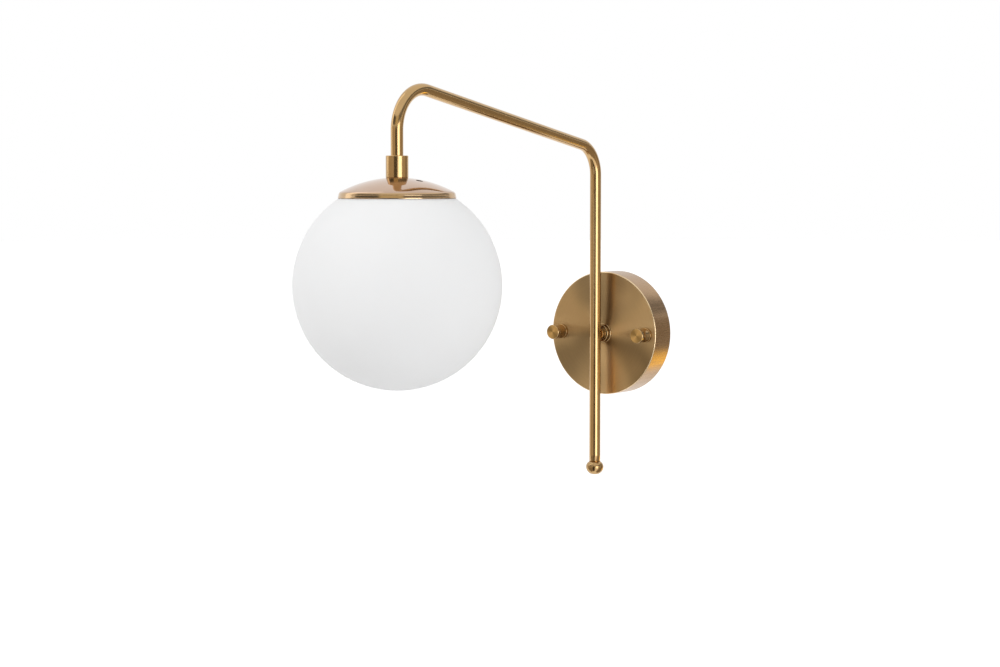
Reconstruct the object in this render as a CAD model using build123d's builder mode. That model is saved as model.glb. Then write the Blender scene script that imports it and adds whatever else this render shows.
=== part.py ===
"""Globe wall sconce: a brass drum on the wall, a bent tube arm, a dome cap and an opal glass globe.

Millimetres. The origin is the centre of the backplate on the wall plane. +Z is up, X runs along
the wall and the lamp reaches out along -Y. "Out" below means away from the wall.
"""
from build123d import *
from math import cos, pi, radians, sin, sqrt, tan
import os

os.makedirs("parts", exist_ok=True)

# ---- fits ----
fit_gap = 0.02           # fixed fits: solder, threads that stay put, pressed pieces
thread_gap = 0.05        # radial clearance of threads that turn
soft_gap = 0.3           # between curved faces of pieces that come apart

# ---- backplate drum and its wall bracket ----
drum_radius = 50.0
drum_depth = 23.0
drum_wall = 1.0
drum_edge = 0.9
bracket_thickness = 1.5
bracket_span = 92.0
bracket_width = 16.0
leg_width = 20.0
leg_top = 24.0
leg_bottom = -36.0
leg_corner = 4.0
wall_slot_offset = 27.0
wall_slot_length = 15.0
wall_slot_width = 4.5

# ---- studs and thumb nuts ----
stud_offset = 40.5
stud_radius = 2.0
stud_length = 33.0
stud_chamfer = 0.5
lock_nut_flats = 7.0
lock_nut_thickness = 3.2
nut_height = 14.0
nut_head_radius = 5.9
nut_head_thickness = 2.2
nut_head_chamfer = 0.45
nut_neck_radius = 4.5
nut_neck_length = 0.8
nut_waist_radius = 4.7
nut_barrel_front_radius = 5.5
nut_barrel_back_radius = 5.8
nut_groove_radius = 4.6
nut_groove_length = 0.7
nut_foot_radius = 6.1
nut_foot_thickness = 2.6
nut_foot_round = 0.5
insert_radius = 3.2
insert_length = 10.2

# ---- arm tube and its spacer ----
tube_radius = 4.5
tube_wall = 0.8
tube_stand_off = 35.0
tube_low_end = -107.6
elbow_height = 149.1
arm_rise_angle = 10.18
reach = 293.0
wall_bend_radius = 25.0
outer_bend_radius = 30.0
drop = 53.6
wire_entry_radius = 3.2
spacer_foot_radius = 8.0
spacer_foot_thickness = 1.2
spacer_groove_radius = 6.5
spacer_groove_length = 0.7
spacer_body_radius = 7.0
spacer_body_length = 2.4
spacer_body_chamfer = 0.4
spacer_boss_radius = 5.4
saddle_depth = 1.0
nipple_radius = 5.0
nipple_bore_radius = 3.6
nipple_engagement = 3.4
stem_nipple_length = 13.9
nipple_chamfer = 0.5
hex_nut_flats = 14.0
hex_nut_thickness = 3.0
lock_washer_radius = 8.2
lock_washer_thickness = 0.6
lock_washer_teeth = 12
lock_washer_notch_depth = 1.0
lock_washer_notch_width = 1.6

# ---- ball finial ----
finial_radius = 7.15
finial_centre = -108.2
finial_upper_round = 4.7
finial_lower_round = 6.55
finial_foot = 6.35
finial_upper_turn = 70.0
finial_lower_turn = 62.0

# ---- collar and dome cap ----
collar_radius = 8.1
collar_length = 15.9
collar_edge = 0.35
collar_socket = 9.0
collar_thread_depth = 6.0
cap_overhang = 2.4
cap_wall = 0.8
cap_side_height = 3.69
cap_crown_radius = 86.0
cap_seat_radius = 8.5
cap_shoulder_round = 3.0
cap_lip_chamfer = 0.5
vent_radius = 2.0
vent_offset = 20.0

# ---- glass globe ----
globe_radius = 75.0
globe_wall = 2.6
neck_radius = 40.0
neck_clearance = 0.65
neck_edge_round = 0.9

# ---- spring clips that carry the globe ----
clip_plate_radius = 20.0
clip_plate_thickness = 1.0
clip_count = 3
clip_first_angle = 90.0
clip_width = 8.0
clip_thickness = 0.5
clip_start = 11.0
clip_bend_radii = [1.5, 3.0, 2.0]
clip_grip_inset = 1.5
clip_grip_length = 3.5
clip_tail_inset = 4.0
clip_tail_drop = 5.0
rivet_offset = 15.0
rivet_radius = 1.0
rivet_head_radius = 1.9
rivet_head_height = 0.6

# ---- lampholder, E27 ----
holder_radius = 19.5
holder_wall = 2.0
holder_cap_height = 17.1
holder_cap_rim = 6.0
holder_cap_inner_rim = 5.0
holder_shoulder_inset = 3.2
holder_shoulder_drop = 4.2
holder_crown_radius = 9.0
holder_thread_depth = 7.0
holder_shell_height = 38.0
holder_ring_height = 8.0
holder_ring_step = 0.8
holder_shell_draft = 0.4
holder_edge = 1.0
holder_lip_radius = 14.8
holder_lip_thickness = 2.0
block_thickness = 9.0
block_ledge = 1.5
screw_shell_inner = 13.5
screw_shell_wall = 0.5
screw_shell_length = 22.0
contact_drop = 5.0
contact_strip_thickness = 0.4
contact_strip_width = 5.0
contact_strip_start = -6.5
contact_strip_bend = 5.5
contact_strip_bow = 8.0
contact_strip_rise = 4.5
contact_strip_tip = -3.5
contact_strip_bow_height = 1.6
contact_strip_radii = [1.0, 1.2, 1.0]
contact_screw_offset = 11.5
contact_screw_radius = 1.4
contact_screw_head = 2.4
contact_screw_head_height = 1.6

# ---- lamp, E27 golf ball ----
thread_pitch = 25.4 / 7
thread_crest = 13.2
thread_root = 12.3
thread_turns = 5
lamp_length = 78.0
lamp_radius = 22.5
lamp_neck_radius = 12.4
lamp_neck_round = 8.0
lamp_glass_wall = 0.8
lamp_cap_length = 22.4
lamp_contact_height = 1.4
lamp_insulator_height = 2.2
lamp_contact_radius = 4.8
lamp_cap_bore = 11.6
lamp_cap_hem = 1.0
lamp_glass_tuck = 6.0
insulator_skirt = 1.0
contact_pin_radius = 2.0
contact_pin_length = 2.0
contact_edge = 0.2
filament_count = 4
filament_radius = 0.9
filament_length = 28.0
filament_offset = 6.5
filament_lead_radius = 0.3
filament_lead_inset = 1.0
stem_tube_radius = 3.4
stem_post_radius = 1.2
stem_flare_thickness = 1.0
stem_flare_length = 4.0
stem_flare_neck = 1.5
stem_post_top = 2.0

# ---- terminal block ----
pole_pitch = 10.0
pole_count = 3
block_length = 30.0
block_depth = 12.0
block_height = 17.0
block_top = -14.0
block_tower_width = 6.0
block_base = 4.0
block_tower_round = 0.8
sleeve_radius = 2.2
sleeve_bore = 1.5
sleeve_length = 14.0
terminal_screw_radius = 1.3
terminal_screw_spread = 4.5
terminal_screw_head = 1.8
terminal_screw_head_height = 0.8
terminal_screw_sink = 1.8
terminal_screw_shank = 3.4
terminal_well_radius = 1.9
block_screw_radius = 1.2
block_screw_head = 1.9
block_screw_head_height = 1.8

# ---- wires ----
wire_radius = 0.9
wire_spread = 1.1
wire_holder_offset = 7.0
wire_entry_bend = 4.5
wire_hole_depth = 2.0
wire_grip = 2.4
wire_block_rise = 4.5
wire_holder_straight = 3.0
wire_fan_drop = 2.0
wire_bend_radii = [5.0, 5.0, wire_entry_bend, wall_bend_radius, outer_bend_radius, 5.0, 3.0]

# ---- protective earth ----
earth_screw_height = 16.0
earth_screw_head = 3.6
earth_screw_head_height = 2.4
lug_radius = 4.0
lug_thickness = 0.8
lug_neck_width = 2.6
lug_neck_length = 2.5
lug_barrel_radius = 1.3
lug_barrel_length = 3.5
earth_wire_inset = 0.5
earth_wire_turn = 1.0
earth_wire_rise = 6.0
earth_bend_radii = [8.0, 6.0]

# ---- heights and distances worked out from the above ----
slope = tan(radians(arm_rise_angle))
tube_bore = tube_radius - tube_wall
outer_elbow_height = elbow_height + (reach - tube_stand_off) * slope
collar_top = outer_elbow_height - drop
dome_top = collar_top - collar_length
cap_radius = neck_radius + cap_overhang
crown_centre = dome_top - sqrt(cap_crown_radius ** 2 - cap_seat_radius ** 2)
rim_height = crown_centre + sqrt(cap_crown_radius ** 2 - cap_radius ** 2) - cap_side_height
lip_radius = cap_radius - cap_wall + cap_lip_chamfer
globe_centre = rim_height - sqrt((globe_radius + soft_gap) ** 2 - lip_radius ** 2)
neck_top = crown_centre + sqrt((cap_crown_radius - cap_wall) ** 2 - neck_radius ** 2) - neck_clearance
cap_nut_top = dome_top - cap_wall
clip_plate_top = cap_nut_top - hex_nut_thickness
holder_top = clip_plate_top - clip_plate_thickness
holder_joint = holder_top - holder_cap_height
holder_bottom = holder_joint - holder_shell_height
block_bottom = holder_joint - block_thickness
screw_shell_bottom = block_bottom - screw_shell_length
lamp_tip = block_bottom - contact_drop
lamp_insulator_top = lamp_tip - lamp_contact_height
lamp_cap_top = lamp_insulator_top - lamp_insulator_height
lamp_cap_bottom = lamp_cap_top - lamp_cap_length
lamp_ball_centre = lamp_tip - lamp_length + lamp_radius
drum_face = drum_depth
tube_back = tube_stand_off - tube_radius
globe_axis = Axis((0, -reach, 0), (0, 0, 1))
outward = (0, -1, 0)


# ---- planes ----
def facing_out(x, distance, z):
    """A plane parallel to the wall, at a distance from it, whose normal points away from it."""
    return Plane(origin=(x, -distance, z), x_dir=(1, 0, 0), z_dir=outward)


def turning_plane(x):
    """A plane for a profile (radius, distance from the wall) turned about an axis square to the wall."""
    return Plane(origin=(x, 0, 0), x_dir=(1, 0, 0), z_dir=(0, 0, -1))


def level(z, x=0.0, distance=reach):
    """A level plane centred on the globe's axis, or on another place."""
    return Plane(origin=(x, -distance, z), x_dir=(1, 0, 0), z_dir=(0, 0, 1))


def radial_plane(angle, distance=reach):
    """An upright plane through the globe's axis for a profile (radius, height)."""
    turn = radians(angle)
    return Plane(
        origin=(0, -distance, 0),
        x_dir=(cos(turn), sin(turn), 0),
        z_dir=(sin(turn), -cos(turn), 0),
    )


def finish(piece, label):
    """Name a finished piece and write it."""
    piece.part.label = label
    export_step(piece.part, f"parts/{label}.step")


def hex_nuts(seats, flats, thickness, hole):
    """Hex nuts with chamfered corners that stand on the given planes."""
    corner = flats / sqrt(3)
    corner_chamfer = (corner - flats / 2) * 0.6
    with BuildPart() as nuts:
        with BuildSketch(*seats):
            Circle(corner)
        extrude(amount=thickness)
        chamfer(nuts.edges().filter_by(GeomType.CIRCLE), length=corner_chamfer)
        with BuildSketch(*seats):
            Circle(corner * 1.2)
            RegularPolygon(flats / 2, 6, major_radius=False, mode=Mode.SUBTRACT)
            Circle(hole)
        extrude(amount=thickness, mode=Mode.SUBTRACT)
    return nuts


def pan_screw(seat, head_radius, head_height, shank_radius, shank_length):
    """A slotted pan head that stands on the plane, with its shank below the plane."""
    slot_width = head_radius * 0.3
    slot_depth = head_height * 0.5
    head_round = head_height * 0.4
    with BuildPart() as screw:
        with BuildSketch(seat):
            Circle(head_radius)
        extrude(amount=head_height)
        head_rims = screw.edges().filter_by(GeomType.CIRCLE).sort_by(Axis(seat.origin, seat.z_dir))
        fillet(head_rims[-1], head_round)
        with BuildSketch(seat.offset(head_height)):
            Rectangle(head_radius * 2.2, slot_width)
        extrude(amount=-slot_depth, mode=Mode.SUBTRACT)
        with BuildSketch(seat):
            Circle(shank_radius)
        extrude(amount=-shank_length)
    return screw.part


# ---- wall bracket: a flat steel cross strap ----
stud_seats = [(-stud_offset, 0), (stud_offset, 0)]
block_centre = block_top - block_height / 2
block_screw_places = [(-pole_pitch / 2, block_centre), (pole_pitch / 2, block_centre)]

with BuildPart() as wall_bracket:
    with BuildSketch(facing_out(0, 0, 0)):
        SlotOverall(bracket_span, bracket_width)
        with Locations((0, (leg_top + leg_bottom) / 2)):
            RectangleRounded(leg_width, leg_top - leg_bottom, leg_corner)
        with Locations((-wall_slot_offset, 0), (wall_slot_offset, 0)):
            SlotOverall(wall_slot_length, wall_slot_width, mode=Mode.SUBTRACT)
        with Locations(*stud_seats):
            Circle(stud_radius + fit_gap, mode=Mode.SUBTRACT)
        with Locations(*block_screw_places):
            Circle(block_screw_radius + fit_gap, mode=Mode.SUBTRACT)
        with Locations((0, earth_screw_height)):
            Circle(stud_radius + fit_gap, mode=Mode.SUBTRACT)
    extrude(amount=bracket_thickness)
finish(wall_bracket, "wall_bracket")

# ---- two studs, locked to the bracket by hex nuts ----
with BuildPart() as bracket_studs:
    with BuildSketch(facing_out(0, 0, 0)):
        with Locations(*stud_seats):
            Circle(stud_radius)
    extrude(amount=stud_length)
    chamfer(bracket_studs.edges().group_by(Axis.Y)[0], length=stud_chamfer)
finish(bracket_studs, "bracket_studs")

lock_seats = [facing_out(x, bracket_thickness, z) for x, z in stud_seats]
stud_lock_nuts = hex_nuts(lock_seats, lock_nut_flats, lock_nut_thickness, stud_radius + fit_gap)
finish(stud_lock_nuts, "stud_lock_nuts")

# ---- canopy: the drum, open at the back ----
with BuildPart() as canopy:
    with BuildSketch(facing_out(0, 0, 0)):
        Circle(drum_radius)
    extrude(amount=drum_depth)
    fillet(canopy.edges().group_by(Axis.Y)[0], drum_edge)
    with BuildSketch(facing_out(0, 0, 0)):
        Circle(drum_radius - drum_wall)
    extrude(amount=drum_depth - drum_wall, mode=Mode.SUBTRACT)
    with BuildSketch(facing_out(0, drum_face, 0)):
        with Locations(*stud_seats):
            Circle(stud_radius + soft_gap)
        Circle(nipple_radius + fit_gap)
    extrude(amount=-drum_wall * 2, mode=Mode.SUBTRACT)
finish(canopy, "canopy")

# ---- thumb nuts, each a turned brass body on a tapped steel bush ----
nut_front = drum_face + nut_height
nut_head_back = nut_front - nut_head_thickness
barrel_front = nut_head_back - nut_neck_length
foot_front = drum_face + nut_foot_thickness
barrel_back = foot_front + nut_groove_length
bush_end = drum_face + insert_length

for side, nut_x in (("left", -stud_offset), ("right", stud_offset)):
    nut_axis = Axis((nut_x, 0, 0), (0, 1, 0))
    with BuildPart() as nut:
        with BuildSketch(turning_plane(nut_x)):
            with BuildLine():
                Polyline(
                    (0, nut_front),
                    (nut_head_radius - nut_head_chamfer, nut_front),
                    (nut_head_radius, nut_front - nut_head_chamfer),
                    (nut_head_radius, nut_head_back),
                    (nut_neck_radius, nut_head_back),
                    (nut_neck_radius, barrel_front),
                    (nut_barrel_front_radius, barrel_front),
                )
                ThreePointArc(
                    (nut_barrel_front_radius, barrel_front),
                    (nut_waist_radius, (barrel_front + barrel_back) / 2),
                    (nut_barrel_back_radius, barrel_back),
                )
                Polyline(
                    (nut_barrel_back_radius, barrel_back),
                    (nut_groove_radius, barrel_back),
                    (nut_groove_radius, foot_front),
                    (nut_foot_radius - nut_foot_round, foot_front),
                )
                ThreePointArc(
                    (nut_foot_radius - nut_foot_round, foot_front),
                    (
                        nut_foot_radius - nut_foot_round * (1 - cos(pi / 4)),
                        foot_front - nut_foot_round * (1 - cos(pi / 4)),
                    ),
                    (nut_foot_radius, foot_front - nut_foot_round),
                )
                Polyline(
                    (nut_foot_radius, foot_front - nut_foot_round),
                    (nut_foot_radius, drum_face),
                    (insert_radius + thread_gap, drum_face),
                    (insert_radius + thread_gap, bush_end + thread_gap),
                    (0, bush_end + thread_gap),
                    (0, nut_front),
                )
            make_face()
        revolve(axis=nut_axis)
    finish(nut, f"{side}_nut")

    with BuildPart() as nut_insert:
        with BuildSketch(facing_out(nut_x, drum_face, 0)):
            Circle(insert_radius)
            Circle(stud_radius + thread_gap, mode=Mode.SUBTRACT)
        extrude(amount=insert_length)
    finish(nut_insert, f"{side}_nut_insert")

# ---- spacer between drum and tube, bored for the wires ----
saddle_face = tube_back + saddle_depth
spacer_groove_front = drum_face + spacer_foot_thickness + spacer_groove_length
spacer_body_front = spacer_groove_front + spacer_body_length

with BuildPart() as stem_spacer:
    with BuildSketch(turning_plane(0)):
        with BuildLine():
            Polyline(
                (nipple_bore_radius, saddle_face),
                (spacer_boss_radius, saddle_face),
                (spacer_boss_radius, spacer_body_front),
                (spacer_body_radius - spacer_body_chamfer, spacer_body_front),
                (spacer_body_radius, spacer_body_front - spacer_body_chamfer),
                (spacer_body_radius, spacer_groove_front),
                (spacer_groove_radius, spacer_groove_front),
                (spacer_groove_radius, drum_face + spacer_foot_thickness),
                (spacer_foot_radius - spacer_body_chamfer, drum_face + spacer_foot_thickness),
                (spacer_foot_radius, drum_face + spacer_foot_thickness - spacer_body_chamfer),
                (spacer_foot_radius, drum_face),
                (nipple_radius + fit_gap, drum_face),
                (nipple_radius + fit_gap, drum_face + nipple_engagement),
                (nipple_bore_radius, drum_face + nipple_engagement),
                (nipple_bore_radius, saddle_face),
            )
        make_face()
    revolve(axis=Axis((0, 0, 0), (0, 1, 0)))
    with BuildSketch(level(-spacer_foot_radius, distance=tube_stand_off)):
        Circle(tube_radius + fit_gap)
    extrude(amount=spacer_foot_radius * 2, mode=Mode.SUBTRACT)
finish(stem_spacer, "stem_spacer")

nipple_inner_end = drum_face + nipple_engagement - stem_nipple_length
with BuildPart() as stem_nipple:
    with BuildSketch(facing_out(0, nipple_inner_end, 0)):
        Circle(nipple_radius)
        Circle(nipple_bore_radius, mode=Mode.SUBTRACT)
    extrude(amount=stem_nipple_length)
    chamfer(stem_nipple.edges().group_by(Axis.Y)[-1].sort_by(SortBy.RADIUS)[-1], length=nipple_chamfer)
finish(stem_nipple, "stem_nipple")

washer_front = drum_face - drum_wall
washer_back = washer_front - lock_washer_thickness
with BuildPart() as stem_lock_washer:
    with BuildSketch(facing_out(0, washer_back, 0)):
        Circle(lock_washer_radius)
        Circle(nipple_radius + thread_gap, mode=Mode.SUBTRACT)
        with PolarLocations(lock_washer_radius, lock_washer_teeth):
            Rectangle(lock_washer_notch_depth * 2, lock_washer_notch_width, mode=Mode.SUBTRACT)
    extrude(amount=lock_washer_thickness)
finish(stem_lock_washer, "stem_lock_washer")

stem_nut = hex_nuts(
    [facing_out(0, washer_back - hex_nut_thickness, 0)],
    hex_nut_flats,
    hex_nut_thickness,
    nipple_radius + fit_gap,
)
finish(stem_nut, "stem_nut")

# ---- arm: one tube, bent twice ----
collar_socket_floor = collar_top - collar_socket
wall_elbow = (0, -tube_stand_off, elbow_height)
outer_elbow = (0, -reach, outer_elbow_height)

with BuildPart() as arm_tube:
    with BuildLine() as arm_route:
        FilletPolyline(
            (0, -tube_stand_off, tube_low_end),
            wall_elbow,
            outer_elbow,
            (0, -reach, collar_socket_floor),
            radius=[wall_bend_radius, outer_bend_radius],
        )
    with BuildSketch(level(tube_low_end, distance=tube_stand_off)):
        Circle(tube_radius)
        Circle(tube_bore, mode=Mode.SUBTRACT)
    sweep(path=arm_route.line)
    with BuildSketch(facing_out(0, tube_back - tube_wall, 0)):
        Circle(wire_entry_radius)
    extrude(amount=tube_wall * 3, mode=Mode.SUBTRACT)
finish(arm_tube, "arm_tube")

# ---- ball finial on the tube's lower end ----
with BuildPart() as ball_finial:
    with BuildSketch(radial_plane(0, tube_stand_off)):
        with BuildLine():
            equator = (finial_radius, finial_centre)
            shoulder = JernArc(equator, (0, 1), radius=finial_upper_round, arc_size=finial_upper_turn)
            belly = JernArc(equator, (0, -1), radius=finial_lower_round, arc_size=-finial_lower_turn)
            foot = (0, finial_centre - finial_foot)
            TangentArc(foot, belly @ 1, tangent=(1, 0))
            Polyline(foot, (0, (shoulder @ 1).Y), shoulder @ 1)
        make_face()
    revolve(axis=Axis((0, -tube_stand_off, 0), (0, 0, 1)))
    with BuildSketch(level(tube_low_end, distance=tube_stand_off)):
        Circle(tube_radius + fit_gap)
    extrude(amount=finial_radius * 2, mode=Mode.SUBTRACT)
finish(ball_finial, "ball_finial")

# ---- collar at the tube's outer end ----
with BuildPart() as collar:
    with BuildSketch(level(dome_top)):
        Circle(collar_radius)
        Circle(nipple_bore_radius, mode=Mode.SUBTRACT)
    extrude(amount=collar_length)
    outer_edges = collar.edges().filter_by(GeomType.CIRCLE).sort_by(SortBy.RADIUS)[-2:]
    chamfer(outer_edges, length=collar_edge)
    with BuildSketch(level(collar_socket_floor)):
        Circle(tube_radius + fit_gap)
    extrude(amount=collar_socket, mode=Mode.SUBTRACT)
    with BuildSketch(level(dome_top)):
        Circle(nipple_radius + fit_gap)
    extrude(amount=collar_thread_depth, mode=Mode.SUBTRACT)
finish(collar, "collar")

holder_nipple_bottom = holder_top - holder_thread_depth
with BuildPart() as holder_nipple:
    with BuildSketch(level(holder_nipple_bottom)):
        Circle(nipple_radius)
        Circle(nipple_bore_radius, mode=Mode.SUBTRACT)
    extrude(amount=dome_top + collar_thread_depth - holder_nipple_bottom)
    chamfer(holder_nipple.edges().group_by(Axis.Z)[0].sort_by(SortBy.RADIUS)[-1], length=nipple_chamfer)
finish(holder_nipple, "holder_nipple")

# ---- dome cap ----
with BuildPart() as dome_cap:
    for inset, mode in ((0, Mode.ADD), (cap_wall, Mode.SUBTRACT)):
        radius, top, crown = cap_radius - inset, dome_top - inset, cap_crown_radius - inset
        seat = sqrt(crown ** 2 - (top - crown_centre) ** 2)
        corner = (radius, crown_centre + sqrt(crown ** 2 - radius ** 2))
        halfway = (radius / 2, crown_centre + sqrt(crown ** 2 - (radius / 2) ** 2))
        with BuildSketch(radial_plane(0)) as cap_half:
            with BuildLine():
                Polyline((seat, top), (0, top), (0, rim_height), (radius, rim_height), corner)
                ThreePointArc(corner, halfway, (seat, top))
            make_face()
            shoulder = cap_half.vertices().group_by(Axis.X)[-1].sort_by(Axis.Y)[-1]
            fillet(shoulder, cap_shoulder_round - inset)
        revolve(axis=globe_axis, mode=mode)
    inner_lip = dome_cap.edges().group_by(Axis.Z)[0].sort_by(SortBy.RADIUS)[0]
    chamfer(inner_lip, length=cap_lip_chamfer)
    with BuildSketch(level(dome_top)):
        Circle(nipple_radius + soft_gap)
        with Locations((-vent_offset, 0), (vent_offset, 0)):
            Circle(vent_radius)
    extrude(amount=(rim_height - dome_top) / 2, mode=Mode.SUBTRACT)
finish(dome_cap, "dome_cap")

cap_lock_nut = hex_nuts([level(clip_plate_top)], hex_nut_flats, hex_nut_thickness, nipple_radius + fit_gap)
finish(cap_lock_nut, "cap_lock_nut")

# ---- clip plate, leaf springs and rivets that carry the glass ----
clip_angles = [clip_first_angle + turn * 360 / clip_count for turn in range(clip_count)]
neck_bore = neck_radius - globe_wall
clip_grip = sqrt((neck_bore - soft_gap) ** 2 - (clip_width / 2) ** 2) - clip_thickness / 2
clip_mid = holder_top - clip_thickness / 2
grip_top = neck_top - clip_grip_inset
grip_bottom = grip_top - clip_grip_length

with BuildPart() as clip_plate:
    with BuildSketch(level(holder_top)):
        Circle(clip_plate_radius)
        Circle(nipple_radius + soft_gap, mode=Mode.SUBTRACT)
        with PolarLocations(rivet_offset, clip_count, start_angle=clip_first_angle):
            Circle(rivet_radius + fit_gap, mode=Mode.SUBTRACT)
    extrude(amount=clip_plate_thickness)
finish(clip_plate, "clip_plate")

with BuildPart() as glass_clips:
    for angle in clip_angles:
        plane = radial_plane(angle)
        with BuildLine(plane) as leaf_route:
            FilletPolyline(
                (clip_start, clip_mid),
                (clip_plate_radius, clip_mid),
                (clip_grip, grip_top),
                (clip_grip, grip_bottom),
                (clip_grip - clip_tail_inset, grip_bottom - clip_tail_drop),
                radius=clip_bend_radii,
            )
        start = leaf_route.line @ 0
        with BuildSketch(Plane(origin=start, x_dir=plane.z_dir, z_dir=plane.x_dir)):
            Rectangle(clip_width, clip_thickness)
        sweep(path=leaf_route.line)
    with BuildSketch(level(holder_top)):
        with PolarLocations(rivet_offset, clip_count, start_angle=clip_first_angle):
            Circle(rivet_radius + fit_gap)
    extrude(amount=-clip_thickness * 2, mode=Mode.SUBTRACT)
finish(glass_clips, "glass_clips")

rivet_bottom = holder_top - clip_thickness - rivet_head_height
with BuildPart() as clip_rivets:
    with BuildSketch(level(rivet_bottom)):
        with PolarLocations(rivet_offset, clip_count, start_angle=clip_first_angle):
            Circle(rivet_radius)
    extrude(amount=clip_plate_top + rivet_head_height - rivet_bottom)
    with BuildSketch(level(rivet_bottom), level(clip_plate_top)):
        with PolarLocations(rivet_offset, clip_count, start_angle=clip_first_angle):
            Circle(rivet_head_radius)
    extrude(amount=rivet_head_height)
finish(clip_rivets, "clip_rivets")

# ---- lampholder ----
holder_bore = holder_radius - holder_wall
with BuildPart() as lampholder_cap:
    with BuildSketch(radial_plane(0)):
        with BuildLine():
            Polyline(
                (holder_radius, holder_joint),
                (holder_radius, holder_joint + holder_cap_rim),
            )
            ThreePointArc(
                (holder_radius, holder_joint + holder_cap_rim),
                (holder_radius - holder_shoulder_inset, holder_top - holder_shoulder_drop),
                (holder_crown_radius, holder_top),
            )
            Polyline(
                (holder_crown_radius, holder_top),
                (nipple_radius + fit_gap, holder_top),
                (nipple_radius + fit_gap, holder_nipple_bottom),
                (holder_crown_radius, holder_nipple_bottom),
                (holder_bore, holder_joint + holder_cap_inner_rim),
                (holder_bore, holder_joint),
                (holder_radius, holder_joint),
            )
        make_face()
    revolve(axis=globe_axis)
finish(lampholder_cap, "lampholder_cap")

shell_radius = holder_radius - holder_ring_step
shell_foot_radius = shell_radius - holder_shell_draft
with BuildPart() as lampholder_shell:
    with BuildSketch(radial_plane(0)):
        with BuildLine():
            Polyline(
                (holder_radius, holder_joint),
                (holder_radius, holder_joint - holder_ring_height),
                (shell_radius, holder_joint - holder_ring_height - holder_edge),
                (shell_foot_radius, holder_bottom + holder_edge),
                (shell_foot_radius - holder_edge, holder_bottom),
                (holder_lip_radius, holder_bottom),
                (holder_lip_radius, holder_bottom + holder_lip_thickness),
                (holder_bore - block_ledge, holder_bottom + holder_lip_thickness),
                (holder_bore - block_ledge, block_bottom),
                (holder_bore, block_bottom),
                (holder_bore, holder_joint),
                (holder_radius, holder_joint),
            )
        make_face()
    revolve(axis=globe_axis)
finish(lampholder_shell, "lampholder_shell")

wire_places = [(-wire_holder_offset, 0), (wire_holder_offset, 0)]
screw_places = [(-contact_screw_offset, 0), (contact_screw_offset, 0)]
with BuildPart() as contact_block:
    with BuildSketch(level(block_bottom)):
        Circle(holder_bore - fit_gap)
    extrude(amount=block_thickness)
    with BuildSketch(level(holder_joint)):
        with Locations(*wire_places):
            Circle(wire_radius + thread_gap)
        with Locations(*screw_places):
            Circle(contact_screw_radius + fit_gap)
    extrude(amount=-wire_hole_depth, mode=Mode.SUBTRACT)
finish(contact_block, "contact_block")

with BuildPart() as contact_screws:
    for x in (-contact_screw_offset, contact_screw_offset):
        add(
            pan_screw(
                level(holder_joint, x=x),
                contact_screw_head,
                contact_screw_head_height,
                contact_screw_radius,
                wire_hole_depth,
            )
        )
finish(contact_screws, "contact_screws")

with BuildPart() as screw_shell:
    with BuildSketch(level(screw_shell_bottom)):
        Circle(screw_shell_inner + screw_shell_wall)
        Circle(screw_shell_inner, mode=Mode.SUBTRACT)
    extrude(amount=screw_shell_length)
finish(screw_shell, "screw_shell")

strip_top = block_bottom - contact_strip_thickness / 2
strip_low = lamp_tip + contact_strip_thickness
with BuildPart() as centre_contact:
    with BuildLine(radial_plane(0)) as contact_route:
        FilletPolyline(
            (contact_strip_start, strip_top),
            (contact_strip_bend, strip_top),
            (contact_strip_bow, lamp_tip + contact_strip_bow_height),
            (contact_strip_rise, strip_low),
            (contact_strip_tip, strip_low),
            radius=contact_strip_radii,
        )
    with BuildSketch(Plane(origin=contact_route.line @ 0, x_dir=(0, -1, 0), z_dir=(1, 0, 0))):
        Rectangle(contact_strip_width, contact_strip_thickness)
    sweep(path=contact_route.line)
finish(centre_contact, "centre_contact")

# ---- lamp ----
thread_middle = (thread_crest + thread_root) / 2
thread_depth = (thread_crest - thread_root) / 2
thread_start = lamp_cap_top - thread_pitch / 2
with BuildPart() as bulb_cap:
    with BuildSketch(radial_plane(0)):
        with BuildLine():
            Line((lamp_cap_bore, lamp_cap_top), (thread_middle, lamp_cap_top))
            Line((thread_middle, lamp_cap_top), (thread_middle, thread_start))
            for turn in range(thread_turns):
                crest_top = thread_start - turn * thread_pitch
                crest_low = crest_top - thread_pitch / 2
                root_low = crest_top - thread_pitch
                ThreePointArc(
                    (thread_middle, crest_top),
                    (thread_middle + thread_depth, (crest_top + crest_low) / 2),
                    (thread_middle, crest_low),
                )
                ThreePointArc(
                    (thread_middle, crest_low),
                    (thread_middle - thread_depth, (crest_low + root_low) / 2),
                    (thread_middle, root_low),
                )
            Polyline(
                (thread_middle, thread_start - thread_turns * thread_pitch),
                (thread_crest, lamp_cap_bottom + lamp_cap_hem),
                (thread_crest, lamp_cap_bottom),
                (lamp_cap_bore, lamp_cap_bottom),
                (lamp_cap_bore, lamp_cap_top),
            )
        make_face()
    revolve(axis=globe_axis)
finish(bulb_cap, "bulb_cap")

insulator_bottom = lamp_cap_top - insulator_skirt
pin_bottom = lamp_insulator_top - contact_pin_length
with BuildPart() as bulb_insulator:
    with BuildSketch(radial_plane(0)):
        with BuildLine():
            Polyline(
                (lamp_contact_radius, lamp_insulator_top),
                (contact_pin_radius, lamp_insulator_top),
                (contact_pin_radius, insulator_bottom),
                (lamp_cap_bore - fit_gap, insulator_bottom),
                (lamp_cap_bore - fit_gap, lamp_cap_top),
                (lamp_contact_radius, lamp_insulator_top),
            )
        make_face()
    revolve(axis=globe_axis)
finish(bulb_insulator, "bulb_insulator")

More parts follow.
